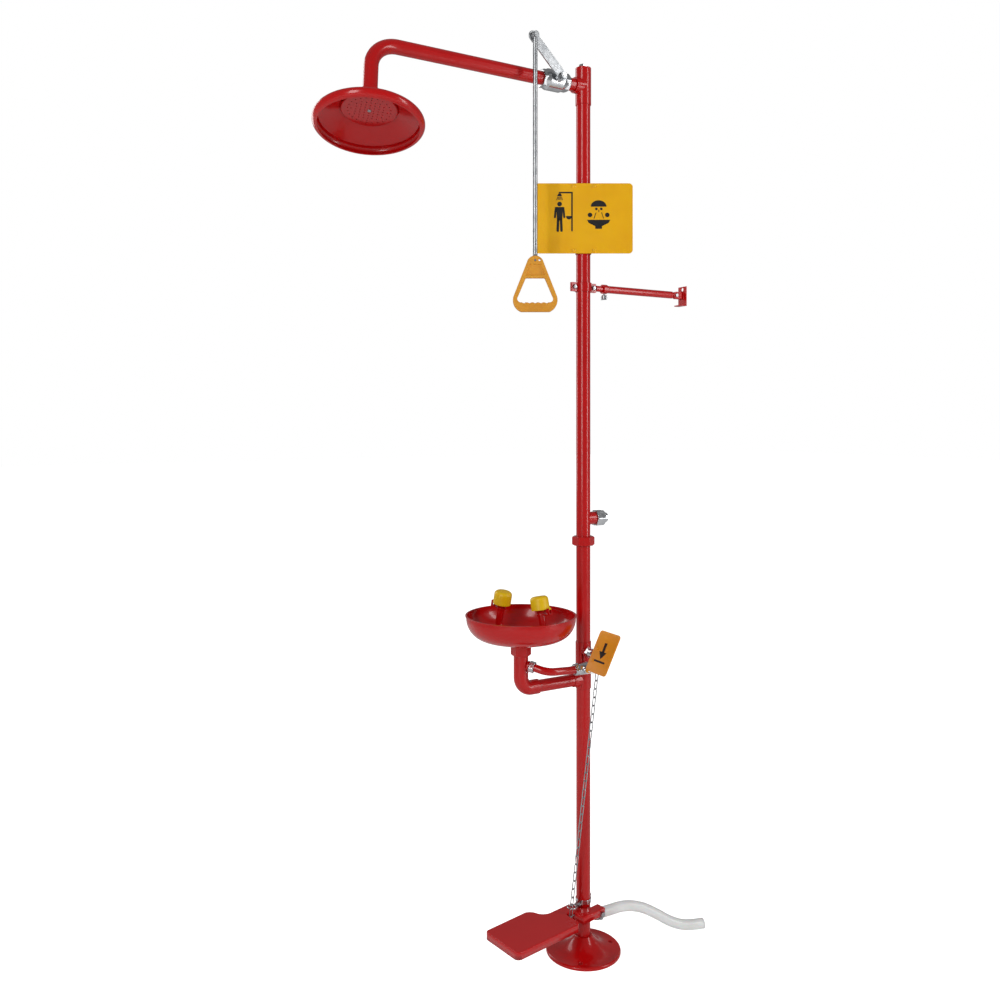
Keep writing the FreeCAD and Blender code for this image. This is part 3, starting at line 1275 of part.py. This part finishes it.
def make_chain():
    """Links from the bracket's eye through the guide ring to the pin in the pedal."""
    eye = chain_eye()
    pin = chain_pin_place()
    eye = eye + (GUIDE_POINT - eye).normalize() * (EYE_HOLE_R - 2 * LOOSE_GAP)
    pin = pin + (pin - GUIDE_POINT).normalize() * (CHAIN_PIN_R + 1 * LOOSE_GAP - CHAIN_SLACK / 2)
    upper = (GUIDE_POINT - eye).Length
    total = upper + (pin - GUIDE_POINT).Length
    count = 2 * round((total - CHAIN_LAST) / (2 * CHAIN_PITCH))
    pitch = (total - CHAIN_LAST) / count

    def at(distance):
        if distance < upper:
            return eye + (GUIDE_POINT - eye) * (distance / upper)
        return GUIDE_POINT + (pin - GUIDE_POINT) * ((distance - upper) / (total - upper))

    hooks = [at(pitch * k) for k in range(count + 1)] + [pin]
    side = direction(PEDAL_YAW)
    forward = direction(PEDAL_YAW - 90)
    links = []
    for k in range(count + 1):
        last_first = (count - k) % 2 == 0
        width = CHAIN_LAST_WIDTH if k == count else CHAIN_WIDTH
        links.append(chain_link(hooks[k], hooks[k + 1], side if last_first else forward, width))
    return group(links)


def guide_direction():
    return V(GUIDE_POINT.x, GUIDE_POINT.y, 0).normalize()


def chain_guide_halves():
    low, high = GUIDE_LOW_Z, GUIDE_HIGH_Z
    ring = tube(PIPE_R + 2.1, PIPE_R + SOCKET_GAP, V(0, 0, low), V(0, 0, high))
    out = guide_direction()
    side = UP.cross(out)
    cut = prism([out * -60 + side * 0.75 + UP * (low - 1), out * 60 + side * 0.75 + UP * (low - 1),
                 out * 60 - side * 0.75 + UP * (low - 1), out * -60 - side * 0.75 + UP * (low - 1)], UP * 14)
    solids = [ring]
    for way, reach in ((1, GUIDE_SHANK_OUT + 3), (-1, GUIDE_BOLT_OUT + 8)):
        a, b = out * (way * (PIPE_R + 1)), out * (way * reach)
        solids.append(prism([a + side * 2.75 + UP * low, b + side * 2.75 + UP * low,
                             b - side * 2.75 + UP * low, a - side * 2.75 + UP * low], UP * (high - low)))
    body = fused(*solids).cut(cut)
    middle = (low + high) / 2
    for way in (1, -1):
        spot = out * (way * GUIDE_BOLT_OUT) + UP * middle
        body = body.cut(cylinder(SCREW_HOLE_R, spot - side * 6, spot + side * 6))
    return body


def chain_guide_bolts():
    out = guide_direction()
    side = UP.cross(out)
    middle = (GUIDE_LOW_Z + GUIDE_HIGH_Z) / 2
    bolts = []
    for way in (1, -1):
        spot = out * (way * GUIDE_BOLT_OUT) + UP * middle
        bolts.append(fused(hex_bar(8, spot - side * 6.2, spot - side * 2.75),
                           cylinder(2.5, spot - side * 2.75, spot + side * 8),
                           hex_bar(8, spot + side * 2.75, spot + side * 6.5)))
    return bolts


def make_clamp_bolts():
    return group(stay_clamp_bolts() + chain_guide_bolts())


def chain_guide_ring():
    """Ring that the chain runs through, on a shank in the clamp's front ear."""
    out = guide_direction()
    centre = GUIDE_POINT - out * GUIDE_RING_SET_BACK
    torus = Part.makeTorus(GUIDE_RING_R, GUIDE_WIRE_R, centre, UP)
    near = centre - out * GUIDE_RING_R
    foot = out * GUIDE_SHANK_OUT + UP * GUIDE_HIGH_Z
    shank = cylinder(GUIDE_WIRE_R, foot, foot + UP * (GUIDE_POINT.z - GUIDE_HIGH_Z + 0.6))
    bridge = cylinder(GUIDE_WIRE_R, foot + UP * (GUIDE_POINT.z - GUIDE_HIGH_Z), near)
    return fused(torus, shank, bridge)


def make_chain_guide_clamp():
    return group(chain_guide_halves().Solids + [chain_guide_ring()])


# ---------------------------------------------------------------- drain spigot and hose

def make_drain_spigot():
    start = V(0, PIPE_BORE_R + 1, SPIGOT_Z)
    return tube(SPIGOT_R, SPIGOT_BORE_R, start, V(0, SPIGOT_END_Y, SPIGOT_Z))


def hose_radii():
    """Bend radius at each inner point: 0.45 of the shorter run, over tan of half the turn."""
    radii = []
    for before, corner, after in zip(HOSE_ROUTE, HOSE_ROUTE[1:], HOSE_ROUTE[2:]):
        turn = (corner - before).getAngle(after - corner)
        shorter = min((corner - before).Length, (after - corner).Length)
        radii.append(0.45 * shorter / math.tan(turn / 2))
    return radii


def make_drain_hose():
    return bent_tube(HOSE_R, HOSE_BORE_R, HOSE_ROUTE, hose_radii())


def make_hose_clamp():
    start = HOSE_ROUTE[0] + TO_WALL * 5
    band = tube(HOSE_R + 1.4, HOSE_R + SOCKET_GAP, start, start + TO_WALL * 9)
    side = LEFT_RIGHT * (HOSE_R + 4) + UP * -3
    block = Part.makeBox(7, 9, 12, start + side - LEFT_RIGHT * 3.5 - UP * 4)
    block = block.cut(cylinder(HOSE_R + 1.0, start - TO_WALL, start + TO_WALL * 12))
    screw = cylinder(3.6, start + side + TO_WALL * 4.5 + UP * 7, start + side + TO_WALL * 4.5 + UP * 13)
    return fused(band, block, screw)


def main():
    os.makedirs("parts", exist_ok=True)
    for name, make in list(globals().items()):
        if name.startswith("make_"):
            shape = make()
            shape.exportStep("parts/" + name[len("make_"):] + ".step")
            print(name[len("make_"):], shape.isValid(), len(shape.Solids), round(shape.Volume))
    radii = hose_radii()
    print("hose bend radii", [round(radius) for radius in radii])
    section = math.pi * (HOSE_R ** 2 - HOSE_BORE_R ** 2)
    print("hose length by volume", round(make_drain_hose().Volume / section))


main()
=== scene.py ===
import json
import math

import bmesh
import bpy
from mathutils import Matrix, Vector


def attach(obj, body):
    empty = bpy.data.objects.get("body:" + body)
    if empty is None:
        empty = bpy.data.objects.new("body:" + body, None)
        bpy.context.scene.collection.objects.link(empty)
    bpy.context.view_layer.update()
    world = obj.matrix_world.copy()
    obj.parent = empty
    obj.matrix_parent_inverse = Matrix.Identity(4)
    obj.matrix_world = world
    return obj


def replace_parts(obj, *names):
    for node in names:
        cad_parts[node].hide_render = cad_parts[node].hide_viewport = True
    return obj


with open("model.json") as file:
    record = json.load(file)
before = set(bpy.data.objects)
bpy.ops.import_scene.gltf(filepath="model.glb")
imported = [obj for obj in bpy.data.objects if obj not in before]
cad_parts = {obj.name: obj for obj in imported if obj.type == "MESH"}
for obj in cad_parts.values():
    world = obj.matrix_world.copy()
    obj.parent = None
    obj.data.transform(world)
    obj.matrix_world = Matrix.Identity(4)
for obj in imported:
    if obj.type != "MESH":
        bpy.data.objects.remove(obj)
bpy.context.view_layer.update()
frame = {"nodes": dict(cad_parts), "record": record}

# Emergency shower and eyewash on one red column. Metres, +Z up, -Y the front, +X the lever side.

NODES = frame["nodes"]
BODIES = {node: body for body, members in frame["record"]["behaviour"]["bodies"].items() for node in members}
SLOTS = {name: node.material_slots[0].material.name.split(".")[0] for name, node in NODES.items()}
UP = Vector((0, 0, 1))


# ---------------------------------------------------------------- camera

CAMERA_PLACE = (2.088, -1.464, 1.425)
CAMERA_HEADING = 60.0     # degrees to the left of +Y, looking level
CAMERA_LENS = 34.02
CAMERA_SHIFT_Y = -0.08


def add_camera():
    data = bpy.data.cameras.new("camera")
    data.lens = CAMERA_LENS
    data.sensor_width = 36
    data.shift_y = CAMERA_SHIFT_Y
    camera = bpy.data.objects.new("camera", data)
    camera.location = CAMERA_PLACE
    camera.rotation_euler = (math.radians(90), 0, math.radians(CAMERA_HEADING))
    bpy.context.scene.collection.objects.link(camera)
    bpy.context.scene.camera = camera


# ---------------------------------------------------------------- materials

def srgb(red, green, blue):
    """Linear colour of an sRGB triple from 0 to 255."""
    def linear(value):
        value /= 255
        return value / 12.92 if value <= 0.04045 else ((value + 0.055) / 1.055) ** 2.4
    return (linear(red), linear(green), linear(blue), 1)


class Surface:
    """A Principled material whose colour, roughness and bump come from procedural nodes."""

    def __init__(self, name, **sockets):
        self.material = bpy.data.materials.new(name)
        self.material.use_nodes = True
        self.tree = self.material.node_tree
        self.shader = self.tree.nodes["Principled BSDF"]
        self.place = self.tree.nodes.new("ShaderNodeTexCoord").outputs["Object"]
        for socket, value in sockets.items():
            self.shader.inputs[socket].default_value = value

    def node(self, kind, **values):
        made = self.tree.nodes.new(kind)
        for key, value in values.items():
            if key in made.inputs:
                made.inputs[key].default_value = value
            else:
                setattr(made, key, value)
        return made

    def link(self, start, end):
        self.tree.links.new(start, end)

    def noise(self, scale, detail=2.0, stretch=(1, 1, 1)):
        mapping = self.node("ShaderNodeMapping")
        mapping.inputs["Scale"].default_value = stretch
        self.link(self.place, mapping.inputs["Vector"])
        made = self.node("ShaderNodeTexNoise", Scale=scale, Detail=detail)
        self.link(mapping.outputs["Vector"], made.inputs["Vector"])
        return made.outputs["Fac"]

    def ramp(self, source, *stops):
        """Colours or greys at positions along the source's 0 to 1."""
        made = self.node("ShaderNodeValToRGB")
        elements = made.color_ramp.elements
        while len(elements) < len(stops):
            elements.new(0.5)
        for element, (position, colour) in zip(elements, stops):
            element.position = position
            element.color = colour if hasattr(colour, "__len__") else (colour, colour, colour, 1)
        self.link(source, made.inputs["Fac"])
        return made.outputs["Color"]

    def colour(self, source, *stops):
        self.link(self.ramp(source, *stops), self.shader.inputs["Base Color"])

    def roughness(self, source, low, high):
        self.link(self.ramp(source, (0.3, low), (0.7, high)), self.shader.inputs["Roughness"])

    def bump(self, source, depth, strength=0.5):
        made = self.node("ShaderNodeBump", Strength=strength, Distance=depth)
        self.link(source, made.inputs["Height"])
        self.link(made.outputs["Normal"], self.shader.inputs["Normal"])


def enamel(name, light, dark):
    """Sprayed enamel: a clear gloss over a colour that varies a little, with faint orange peel."""
    surface = Surface(name, **{"Coat Weight": 0.3, "Coat Roughness": 0.05, "Specular IOR Level": 0.32})
    surface.colour(surface.noise(4, 2), (0.35, dark), (0.65, light))
    surface.roughness(surface.noise(9, 2), 0.2, 0.27)
    surface.bump(surface.noise(260, 1), 0.00012, 0.05)
    return surface.material


def metal(name, light, dark, low, high, grain=60):
    surface = Surface(name, **{"Metallic": 1.0})
    surface.colour(surface.noise(grain, 4), (0.3, dark), (0.7, light))
    surface.roughness(surface.noise(grain * 2, 3), low, high)
    surface.bump(surface.noise(900, 2), 0.0002, 0.08)
    return surface.material


def moulded(name, light, dark, low=0.35, high=0.5, depth=0.0002):
    """Moulded plastic with a fine matt grain."""
    surface = Surface(name, **{"Specular IOR Level": 0.45, "Subsurface Weight": 0.06,
                               "Subsurface Scale": 0.004})
    surface.colour(surface.noise(14, 3), (0.3, dark), (0.7, light))
    surface.roughness(surface.noise(90, 2), low, high)
    surface.bump(surface.noise(1100, 2), depth, 0.15)
    return surface.material


def hose_vinyl():
    surface = Surface("hose_vinyl", **{"Specular IOR Level": 0.5, "Subsurface Weight": 0.15,
                                       "Subsurface Scale": 0.006, "Coat Weight": 0.15})
    surface.colour(surface.noise(20, 3), (0.3, srgb(234, 234, 233)), (0.7, srgb(246, 246, 245)))
    surface.roughness(surface.noise(70, 2), 0.32, 0.42)
    surface.bump(surface.noise(300, 2), 0.0003, 0.1)
    return surface.material


def make_materials():
    return {
        "red_enamel": enamel("red_enamel", srgb(194, 9, 11), srgb(184, 6, 8)),
        "pedal_enamel": enamel("pedal_enamel", srgb(202, 17, 19), srgb(194, 12, 14)),
        "bright_chrome": metal("bright_chrome", srgb(222, 224, 226), srgb(196, 198, 202), 0.1, 0.2),
        "zinc_steel": metal("zinc_steel", srgb(186, 188, 190), srgb(150, 153, 156), 0.25, 0.42),
        "valve_seat": moulded("valve_seat", srgb(238, 236, 230), srgb(228, 226, 220)),
        "handle_plastic": moulded("handle_plastic", srgb(228, 160, 44), srgb(220, 148, 36)),
        "sign_yellow": moulded("sign_yellow", srgb(244, 184, 4), srgb(238, 174, 2), 0.28, 0.4, 0.0001),
        "cap_yellow": moulded("cap_yellow", srgb(246, 206, 8), srgb(238, 192, 4), 0.32, 0.45),
        "push_plate_orange": moulded("push_plate_orange", srgb(238, 160, 30), srgb(224, 142, 20), 0.3, 0.42),
        "nozzle_plastic": moulded("nozzle_plastic", srgb(188, 14, 14), srgb(176, 9, 10)),
        "hose_vinyl": hose_vinyl(),
    }


def dress_nodes(materials):
    for node in NODES.values():
        for slot in node.material_slots:
            slot.material = materials[slot.material.name.split(".")[0]]


# ---------------------------------------------------------------- hose

HOSE_RADIUS = 0.014
HOSE_BORE = 0.0105
HOSE_ROUTE = [
    (0, 0.036, 0.086), (0, 0.084, 0.086), (0.007, 0.133, 0.090), (0.020, 0.180, 0.080),
    (0.035, 0.221, 0.057), (0.050, 0.261, 0.030), (0.065, 0.305, 0.014), (0.077, 0.354, 0.014),
]


def spline_points(route, steps=12):
    """Points along the smooth NURBS line that has the route as its control points."""
    curve = bpy.data.curves.new("route", "CURVE")
    curve.dimensions = "3D"
    curve.resolution_u = steps
    spline = curve.splines.new("NURBS")
    spline.points.add(len(route) - 1)
    for point, place in zip(spline.points, route):
        point.co = (*place, 1)
    spline.order_u = 3
    spline.use_endpoint_u = True
    holder = bpy.data.objects.new("route", curve)
    bpy.context.scene.collection.objects.link(holder)
    mesh = bpy.data.meshes.new_from_object(holder)
    points = [vertex.co.copy() for vertex in mesh.vertices]
    bpy.data.objects.remove(holder)
    return points


def tangents(points):
    ends = [points[0], *points, points[-1]]
    return [(after - before).normalized() for before, after in zip(ends, ends[2:])]


def add_mesh(name, vertices, faces, material, smooth=True):
    mesh = bpy.data.meshes.new(name)
    mesh.from_pydata([tuple(v) for v in vertices], [], faces)
    mesh.update()
    for polygon in mesh.polygons:
        polygon.use_smooth = smooth
    mesh.materials.append(material)
    piece = bpy.data.objects.new(name, mesh)
    bpy.context.scene.collection.objects.link(piece)
    return piece


def swept_tube(name, points, outer, inner, material, around=40):
    """Open-ended tube with an outer and an inner wall, along the points."""
    directions = tangents(points)
    side = directions[0].orthogonal().normalized()
    vertices = []
    for point, ahead in zip(points, directions):
        side = (side - ahead * side.dot(ahead)).normalized()
        across = ahead.cross(side)
        for radius in (outer, inner):
            for k in range(around):
                angle = 2 * math.pi * k / around
                vertices.append(point + (side * math.cos(angle) + across * math.sin(angle)) * radius)
    ring = 2 * around
    last = (len(points) - 1) * ring
    faces = []
    for k in range(around):
        n = (k + 1) % around
        for row in range(len(points) - 1):
            a = row * ring
            b = a + ring
            faces.append((a + k, a + n, b + n, b + k))
            faces.append((a + around + n, a + around + k, b + around + k, b + around + n))
        faces.append((n, k, around + k, around + n))
        faces.append((last + k, last + n, last + around + n, last + around + k))
    return add_mesh(name, vertices, faces, material)


def add_hose(materials):
    points = spline_points(HOSE_ROUTE)
    hose = swept_tube("hose", points, HOSE_RADIUS, HOSE_BORE, materials["hose_vinyl"])
    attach(hose, "stand")
    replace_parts(hose, "drain_hose")


# ---------------------------------------------------------------- rounded castings

# Radius of the rounded edges in millimetres, on the nodes whose real edges are visibly soft.
EDGE_RADII = {
    "base_flange": 1.2, "post_tee": 1.2, "top_tee": 1.2, "union_nut": 0.9, "drain_elbow": 1.0, "top_plug": 0.6,
    "shower_valve_body": 0.9, "eyewash_valve_body": 0.7, "shower_lever": 0.6,
    "head_collar": 0.7, "sign_plate": 0.7, "sign_saddles": 0.4, "stay_clamp": 0.6,
    "stay_outer_tube": 0.5, "stay_lock_screw": 0.5, "stay_foot": 0.7, "stay_foot_pin": 0.4, "eyewash_bowl": 0.5,
    "outlet_nipple": 0.5, "inlet_bushing": 0.7, "push_plate": 0.7, "push_bracket": 0.5,
    "push_fasteners": 0.3, "pedal_bracket": 0.7, "pedal_pins": 0.4, "clamp_bolts": 0.4, "cap_hinge_forks": 0.3,
    "chain_guide_clamp": 0.4, "hose_clamp": 0.3, "nozzle_heads": 0.5, "supply_pipe_upper": 0.6,
    "pull_handle": 1.6,
}
# Fittings painted with the piece they hold.
PAINTED = {"push_fasteners": "push_plate_orange", "cap_hinge_forks": "red_enamel"}

WELD = 2e-6
FLAT_ANGLE = math.radians(0.3)
SHARP_ANGLE = math.radians(28)
EVEN_SHADING = 90         # how strongly large faces set the normals beside them

PEDAL_EDGE = 0.0022
PEDAL_SEGMENTS = 3
PEDAL_TOP_Z = 0.1265      # only the pedal's edges above this are rounded
NUTS_PART_Z = 0.811       # between the drain nut above and the supply nut below
NUT_EDGE = 0.0006
SCREWS_PART_Z = 2.07      # between the spray plate's screw above and the sign's below
SCREW_EDGE = 0.0003


def new_piece(name, mesh, body):
    piece = bpy.data.objects.new(name, mesh)
    bpy.context.scene.collection.objects.link(piece)
    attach(piece, body)
    return piece


def cad_copy(name):
    """Welded copy of a CAD node's mesh, with the flat faces in one piece each."""
    shape = bmesh.new()
    shape.from_mesh(NODES[name].data)
    bmesh.ops.remove_doubles(shape, verts=shape.verts, dist=WELD)
    bmesh.ops.dissolve_limit(shape, angle_limit=FLAT_ANGLE, verts=shape.verts, edges=shape.edges)
    return shape


def rounded_mesh(name, shape, width, segments, chosen):
    """Mesh of the shape with its sharp edges, or the chosen ones among them, rounded."""
    mesh = bpy.data.meshes.new(name)
    weights = shape.edges.layers.float.new("bevel_weight_edge")
    for edge in shape.edges:
        sharp = len(edge.link_faces) == 2 and edge.calc_face_angle(0) > SHARP_ANGLE
        if sharp and (chosen is None or chosen(edge)):
            edge[weights] = 1
    shape.to_mesh(mesh)
    shape.free()
    mesh.shade_smooth()
    holder = bpy.data.objects.new(name, mesh)
    bpy.context.scene.collection.objects.link(holder)
    bevel = holder.modifiers.new("round", "BEVEL")
    bevel.width = width
    bevel.segments = segments
    bevel.limit_method = "WEIGHT"
    bevel.use_clamp_overlap = False
    bevel.miter_outer = "MITER_ARC"
    weighted = holder.modifiers.new("even", "WEIGHTED_NORMAL")
    weighted.weight = EVEN_SHADING
    weighted.keep_sharp = False
    solid = bpy.data.meshes.new_from_object(holder.evaluated_get(bpy.context.evaluated_depsgraph_get()))
    solid.name = name
    bpy.data.objects.remove(holder)
    bpy.data.meshes.remove(mesh)
    return solid


def rounded_piece(name, shape, node, slot, materials, width, segments=2, chosen=None):
    """Piece made of the shape with rounded edges, standing for a CAD node or for part of one."""
    mesh = rounded_mesh(name, shape, width, segments, chosen)
    mesh.materials.clear()
    mesh.materials.append(materials[slot])
    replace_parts(new_piece(name, mesh, BODIES[node]), node)


def split_node(node, parting, higher, lower, materials, width):
    """Stand in for a node whose solids above and below a height have different finishes."""
    for (name, slot), above in ((higher, True), (lower, False)):
        shape = cad_copy(node)
        other = [vertex for vertex in shape.verts if (vertex.co.z > parting) != above]
        bmesh.ops.delete(shape, geom=other, context="VERTS")
        rounded_piece(name, shape, node, slot, materials, width)


def on_pedal_top(edge):
    return min(vertex.co.z for vertex in edge.verts) > PEDAL_TOP_Z


def add_rounded_castings(materials):
    for name, radius in EDGE_RADII.items():
        slot = PAINTED.get(name, SLOTS[name])
        rounded_piece(name + "_rounded", cad_copy(name), name, slot, materials, radius / 1000)
    split_node("eyewash_nuts", NUTS_PART_Z, ("bowl_drain_nut", "red_enamel"),
               ("bowl_supply_nut", "bright_chrome"), materials, NUT_EDGE)
    split_node("panel_screws", SCREWS_PART_Z, ("spray_plate_screw", "zinc_steel"),
               ("sign_screws", "sign_yellow"), materials, SCREW_EDGE)
    rounded_piece("foot_pedal_rounded", cad_copy("foot_pedal"), "foot_pedal", SLOTS["foot_pedal"], materials,
                  PEDAL_EDGE, PEDAL_SEGMENTS, on_pedal_top)


# ---------------------------------------------------------------- pictograms

INK_THICK = 0.0003
SIGN_ACROSS = Vector((0.5, math.sqrt(0.75), 0))
PUSH_ACROSS = Vector((1, 0, 0))
PUSH_UPWARD = Vector((0, 0.4617, 0.887)).normalized()


def limb(start, end, wide, steps=8):
    """Outline of a straight stroke with round ends."""
    heading = math.atan2(end[1] - start[1], end[0] - start[0])
    outline = []
    for (x, y), first in ((end, heading - math.pi / 2), (start, heading + math.pi / 2)):
        for k in range(steps + 1):
            angle = first + math.pi * k / steps
            outline.append((x + wide / 2 * math.cos(angle), y + wide / 2 * math.sin(angle)))
    return outline


def disc(x, y, radius, steps=32):
    return [(x + radius * math.cos(2 * math.pi * k / steps), y + radius * math.sin(2 * math.pi * k / steps))
            for k in range(steps)]


def half_disc(x, y, half_wide, high, steps=18):
    return [(x + half_wide * math.cos(math.pi * k / steps), y + high * math.sin(math.pi * k / steps))
            for k in range(steps + 1)]


# Outlines in millimetres from the middle of the face they stand on.
DRENCH_FIGURE = [
    [(-34, -34.5), (-30, -34.5), (-30, 70.5), (-34, 70.5)],
    [(-67, 66.5), (-34, 66.5), (-34, 70.5), (-67, 70.5)],
    [(-72, 58.5), (-58, 58.5), (-62, 66), (-68, 66)],
    limb((-70, 56), (-73, 49), 1.6), limb((-67.5, 56), (-69, 49), 1.6), limb((-65, 56), (-65, 49), 1.6),
    limb((-62.5, 56), (-61, 49), 1.6), limb((-60, 56), (-57, 49), 1.6),
    disc(-65, 38, 6.2), [(-74, 30), (-56, 30), (-58, -6), (-72, -6)],
    limb((-75, 27.5), (-77.5, 3), 5.4), limb((-55, 27.5), (-52.5, 3), 5.4),
    limb((-69, -4), (-70, -33), 6.6), limb((-61, -4), (-60, -33), 6.6),
    half_disc(-40, 6, 8, -9),
]
EYEWASH_FIGURE = [
    half_disc(39, 31, 21, 17), disc(33, 25, 3.5), disc(46, 25, 3.5), limb((39.5, 22), (39.5, 17), 1.8),
    disc(16, 9, 6), disc(62, 9, 6), limb((27, 0), (32, 15), 1.8), limb((52, 0), (47, 15), 1.8),
    [(8, -4), (12, -12), (30, -21), (30, -28), (48, -28), (48, -21), (66, -12), (70, -4)],
]
PUSH_FIGURE = [
    limb((-20, -24), (20, -24), 5), [(-5, 26), (5, 26), (5, 0), (-5, 0)], [(-15, 2), (15, 2), (0, -17)],
]


def face_middle(name, across, upward):
    """Middle of a node's flat face, seen with the two directions to the right and up."""
    ahead = across.cross(upward)
    places = [vertex.co for vertex in NODES[name].data.vertices]

    def middle(axis):
        reach = [place.dot(axis) for place in places]
        return axis * (min(reach) + max(reach)) / 2
    return middle(across) + middle(upward) + ahead * max(place.dot(ahead) for place in places)


def ink():
    surface = Surface("ink", **{"Specular IOR Level": 0.35})
    surface.colour(surface.noise(60, 2), (0.3, srgb(22, 22, 22)), (0.7, srgb(34, 33, 32)))
    surface.roughness(surface.noise(120, 2), 0.42, 0.55)
    return surface.material


def add_figures(name, outlines, node, across, upward, material):
    """Thin printed figures standing on a node's face."""
    middle = face_middle(node, across, upward)
    rise = across.cross(upward) * INK_THICK
    shape = bmesh.new()
    for outline in outlines:
        low = [shape.verts.new(middle + (across * x + upward * y) / 1000) for x, y in outline]
        high = [shape.verts.new(vertex.co + rise) for vertex in low]
        shape.faces.new(low[::-1])
        shape.faces.new(high)
        for k in range(len(low)):
            shape.faces.new((low[k - 1], low[k], high[k], high[k - 1]))
    bmesh.ops.recalc_face_normals(shape, faces=shape.faces)
    mesh = bpy.data.meshes.new(name)
    shape.to_mesh(mesh)
    shape.free()
    mesh.materials.append(material)
    return new_piece(name, mesh, BODIES[node])


def add_pictograms():
    material = ink()
    add_figures("drench_figure", DRENCH_FIGURE, "sign_plate", SIGN_ACROSS, UP, material)
    add_figures("eyewash_figure", EYEWASH_FIGURE, "sign_plate", SIGN_ACROSS, UP, material)
    add_figures("push_figure", PUSH_FIGURE, "push_plate", PUSH_ACROSS, PUSH_UPWARD, material)


# ---------------------------------------------------------------- stage

FLOOR_HALF = 30
FLOOR_GLOW = 1.0          # the floor's own brightness as the camera sees it
FLOOR_LIGHT = 0.1         # and as it lights the object
WORLD_LIGHT = 0.22        # the surroundings as they light the object; the camera sees them white
# Name, place, target, width, height and power of each area light.
LIGHTS = [
    ("key", (2.4, -3.6, 2.6), (0, 0, 1.3), 1.0, 3.6, 82),
    ("side", (3.0, 2.2, 2.0), (0, 0, 1.2), 0.7, 3.6, 56),
    ("back", (-3.0, -1.4, 2.4), (0, 0, 1.4), 1.0, 3.0, 30),
]


def add_stage():
    """White floor and surroundings, and large soft lights."""
    world = bpy.data.worlds.new("studio")
    world.use_nodes = True
    tree = world.node_tree
    background = tree.nodes["Background"]
    path = tree.nodes.new("ShaderNodeLightPath")
    level = tree.nodes.new("ShaderNodeMapRange")
    level.inputs["To Min"].default_value = WORLD_LIGHT
    level.inputs["To Max"].default_value = 1.0
    tree.links.new(path.outputs["Is Camera Ray"], level.inputs["Value"])
    tree.links.new(level.outputs["Result"], background.inputs["Strength"])
    background.inputs["Color"].default_value = (1, 1, 1, 1)
    bpy.context.scene.world = world
    bpy.context.scene.view_settings.view_transform = "Standard"
    mesh = bpy.data.meshes.new("floor")
    reach = FLOOR_HALF
    mesh.from_pydata([(-reach, -reach, 0), (reach, -reach, 0), (reach, reach, 0), (-reach, reach, 0)], [],
                     [(0, 1, 2, 3)])
    surface = Surface("floor", **{"Emission Color": (1, 1, 1, 1)})
    seen = surface.node("ShaderNodeLightPath")
    glow = surface.node("ShaderNodeMapRange")
    glow.inputs["To Min"].default_value = FLOOR_LIGHT
    glow.inputs["To Max"].default_value = FLOOR_GLOW
    surface.link(seen.outputs["Is Camera Ray"], glow.inputs["Value"])
    surface.link(glow.outputs["Result"], surface.shader.inputs["Emission Strength"])
    surface.colour(surface.noise(2, 2), (0.4, (0.84, 0.84, 0.84, 1)), (0.6, (0.86, 0.86, 0.86, 1)))
    surface.roughness(surface.noise(8, 2), 0.75, 0.85)
    mesh.materials.append(surface.material)
    floor = bpy.data.objects.new("floor", mesh)
    bpy.context.scene.collection.objects.link(floor)
    for light in LIGHTS:
        add_light(*light)


def add_light(name, place, target, width, height, power):
    data = bpy.data.lights.new(name, "AREA")
    data.shape = "RECTANGLE"
    data.size = width
    data.size_y = height
    data.energy = power
    light = bpy.data.objects.new(name, data)
    light.location = place
    light.rotation_euler = (Vector(target) - Vector(place)).to_track_quat("-Z", "Y").to_euler()
    bpy.context.scene.collection.objects.link(light)


# ---------------------------------------------------------------- everything

add_camera()
MATERIALS = make_materials()
add_hose(MATERIALS)
add_stage()
dress_nodes(MATERIALS)
add_rounded_castings(MATERIALS)
add_pictograms()
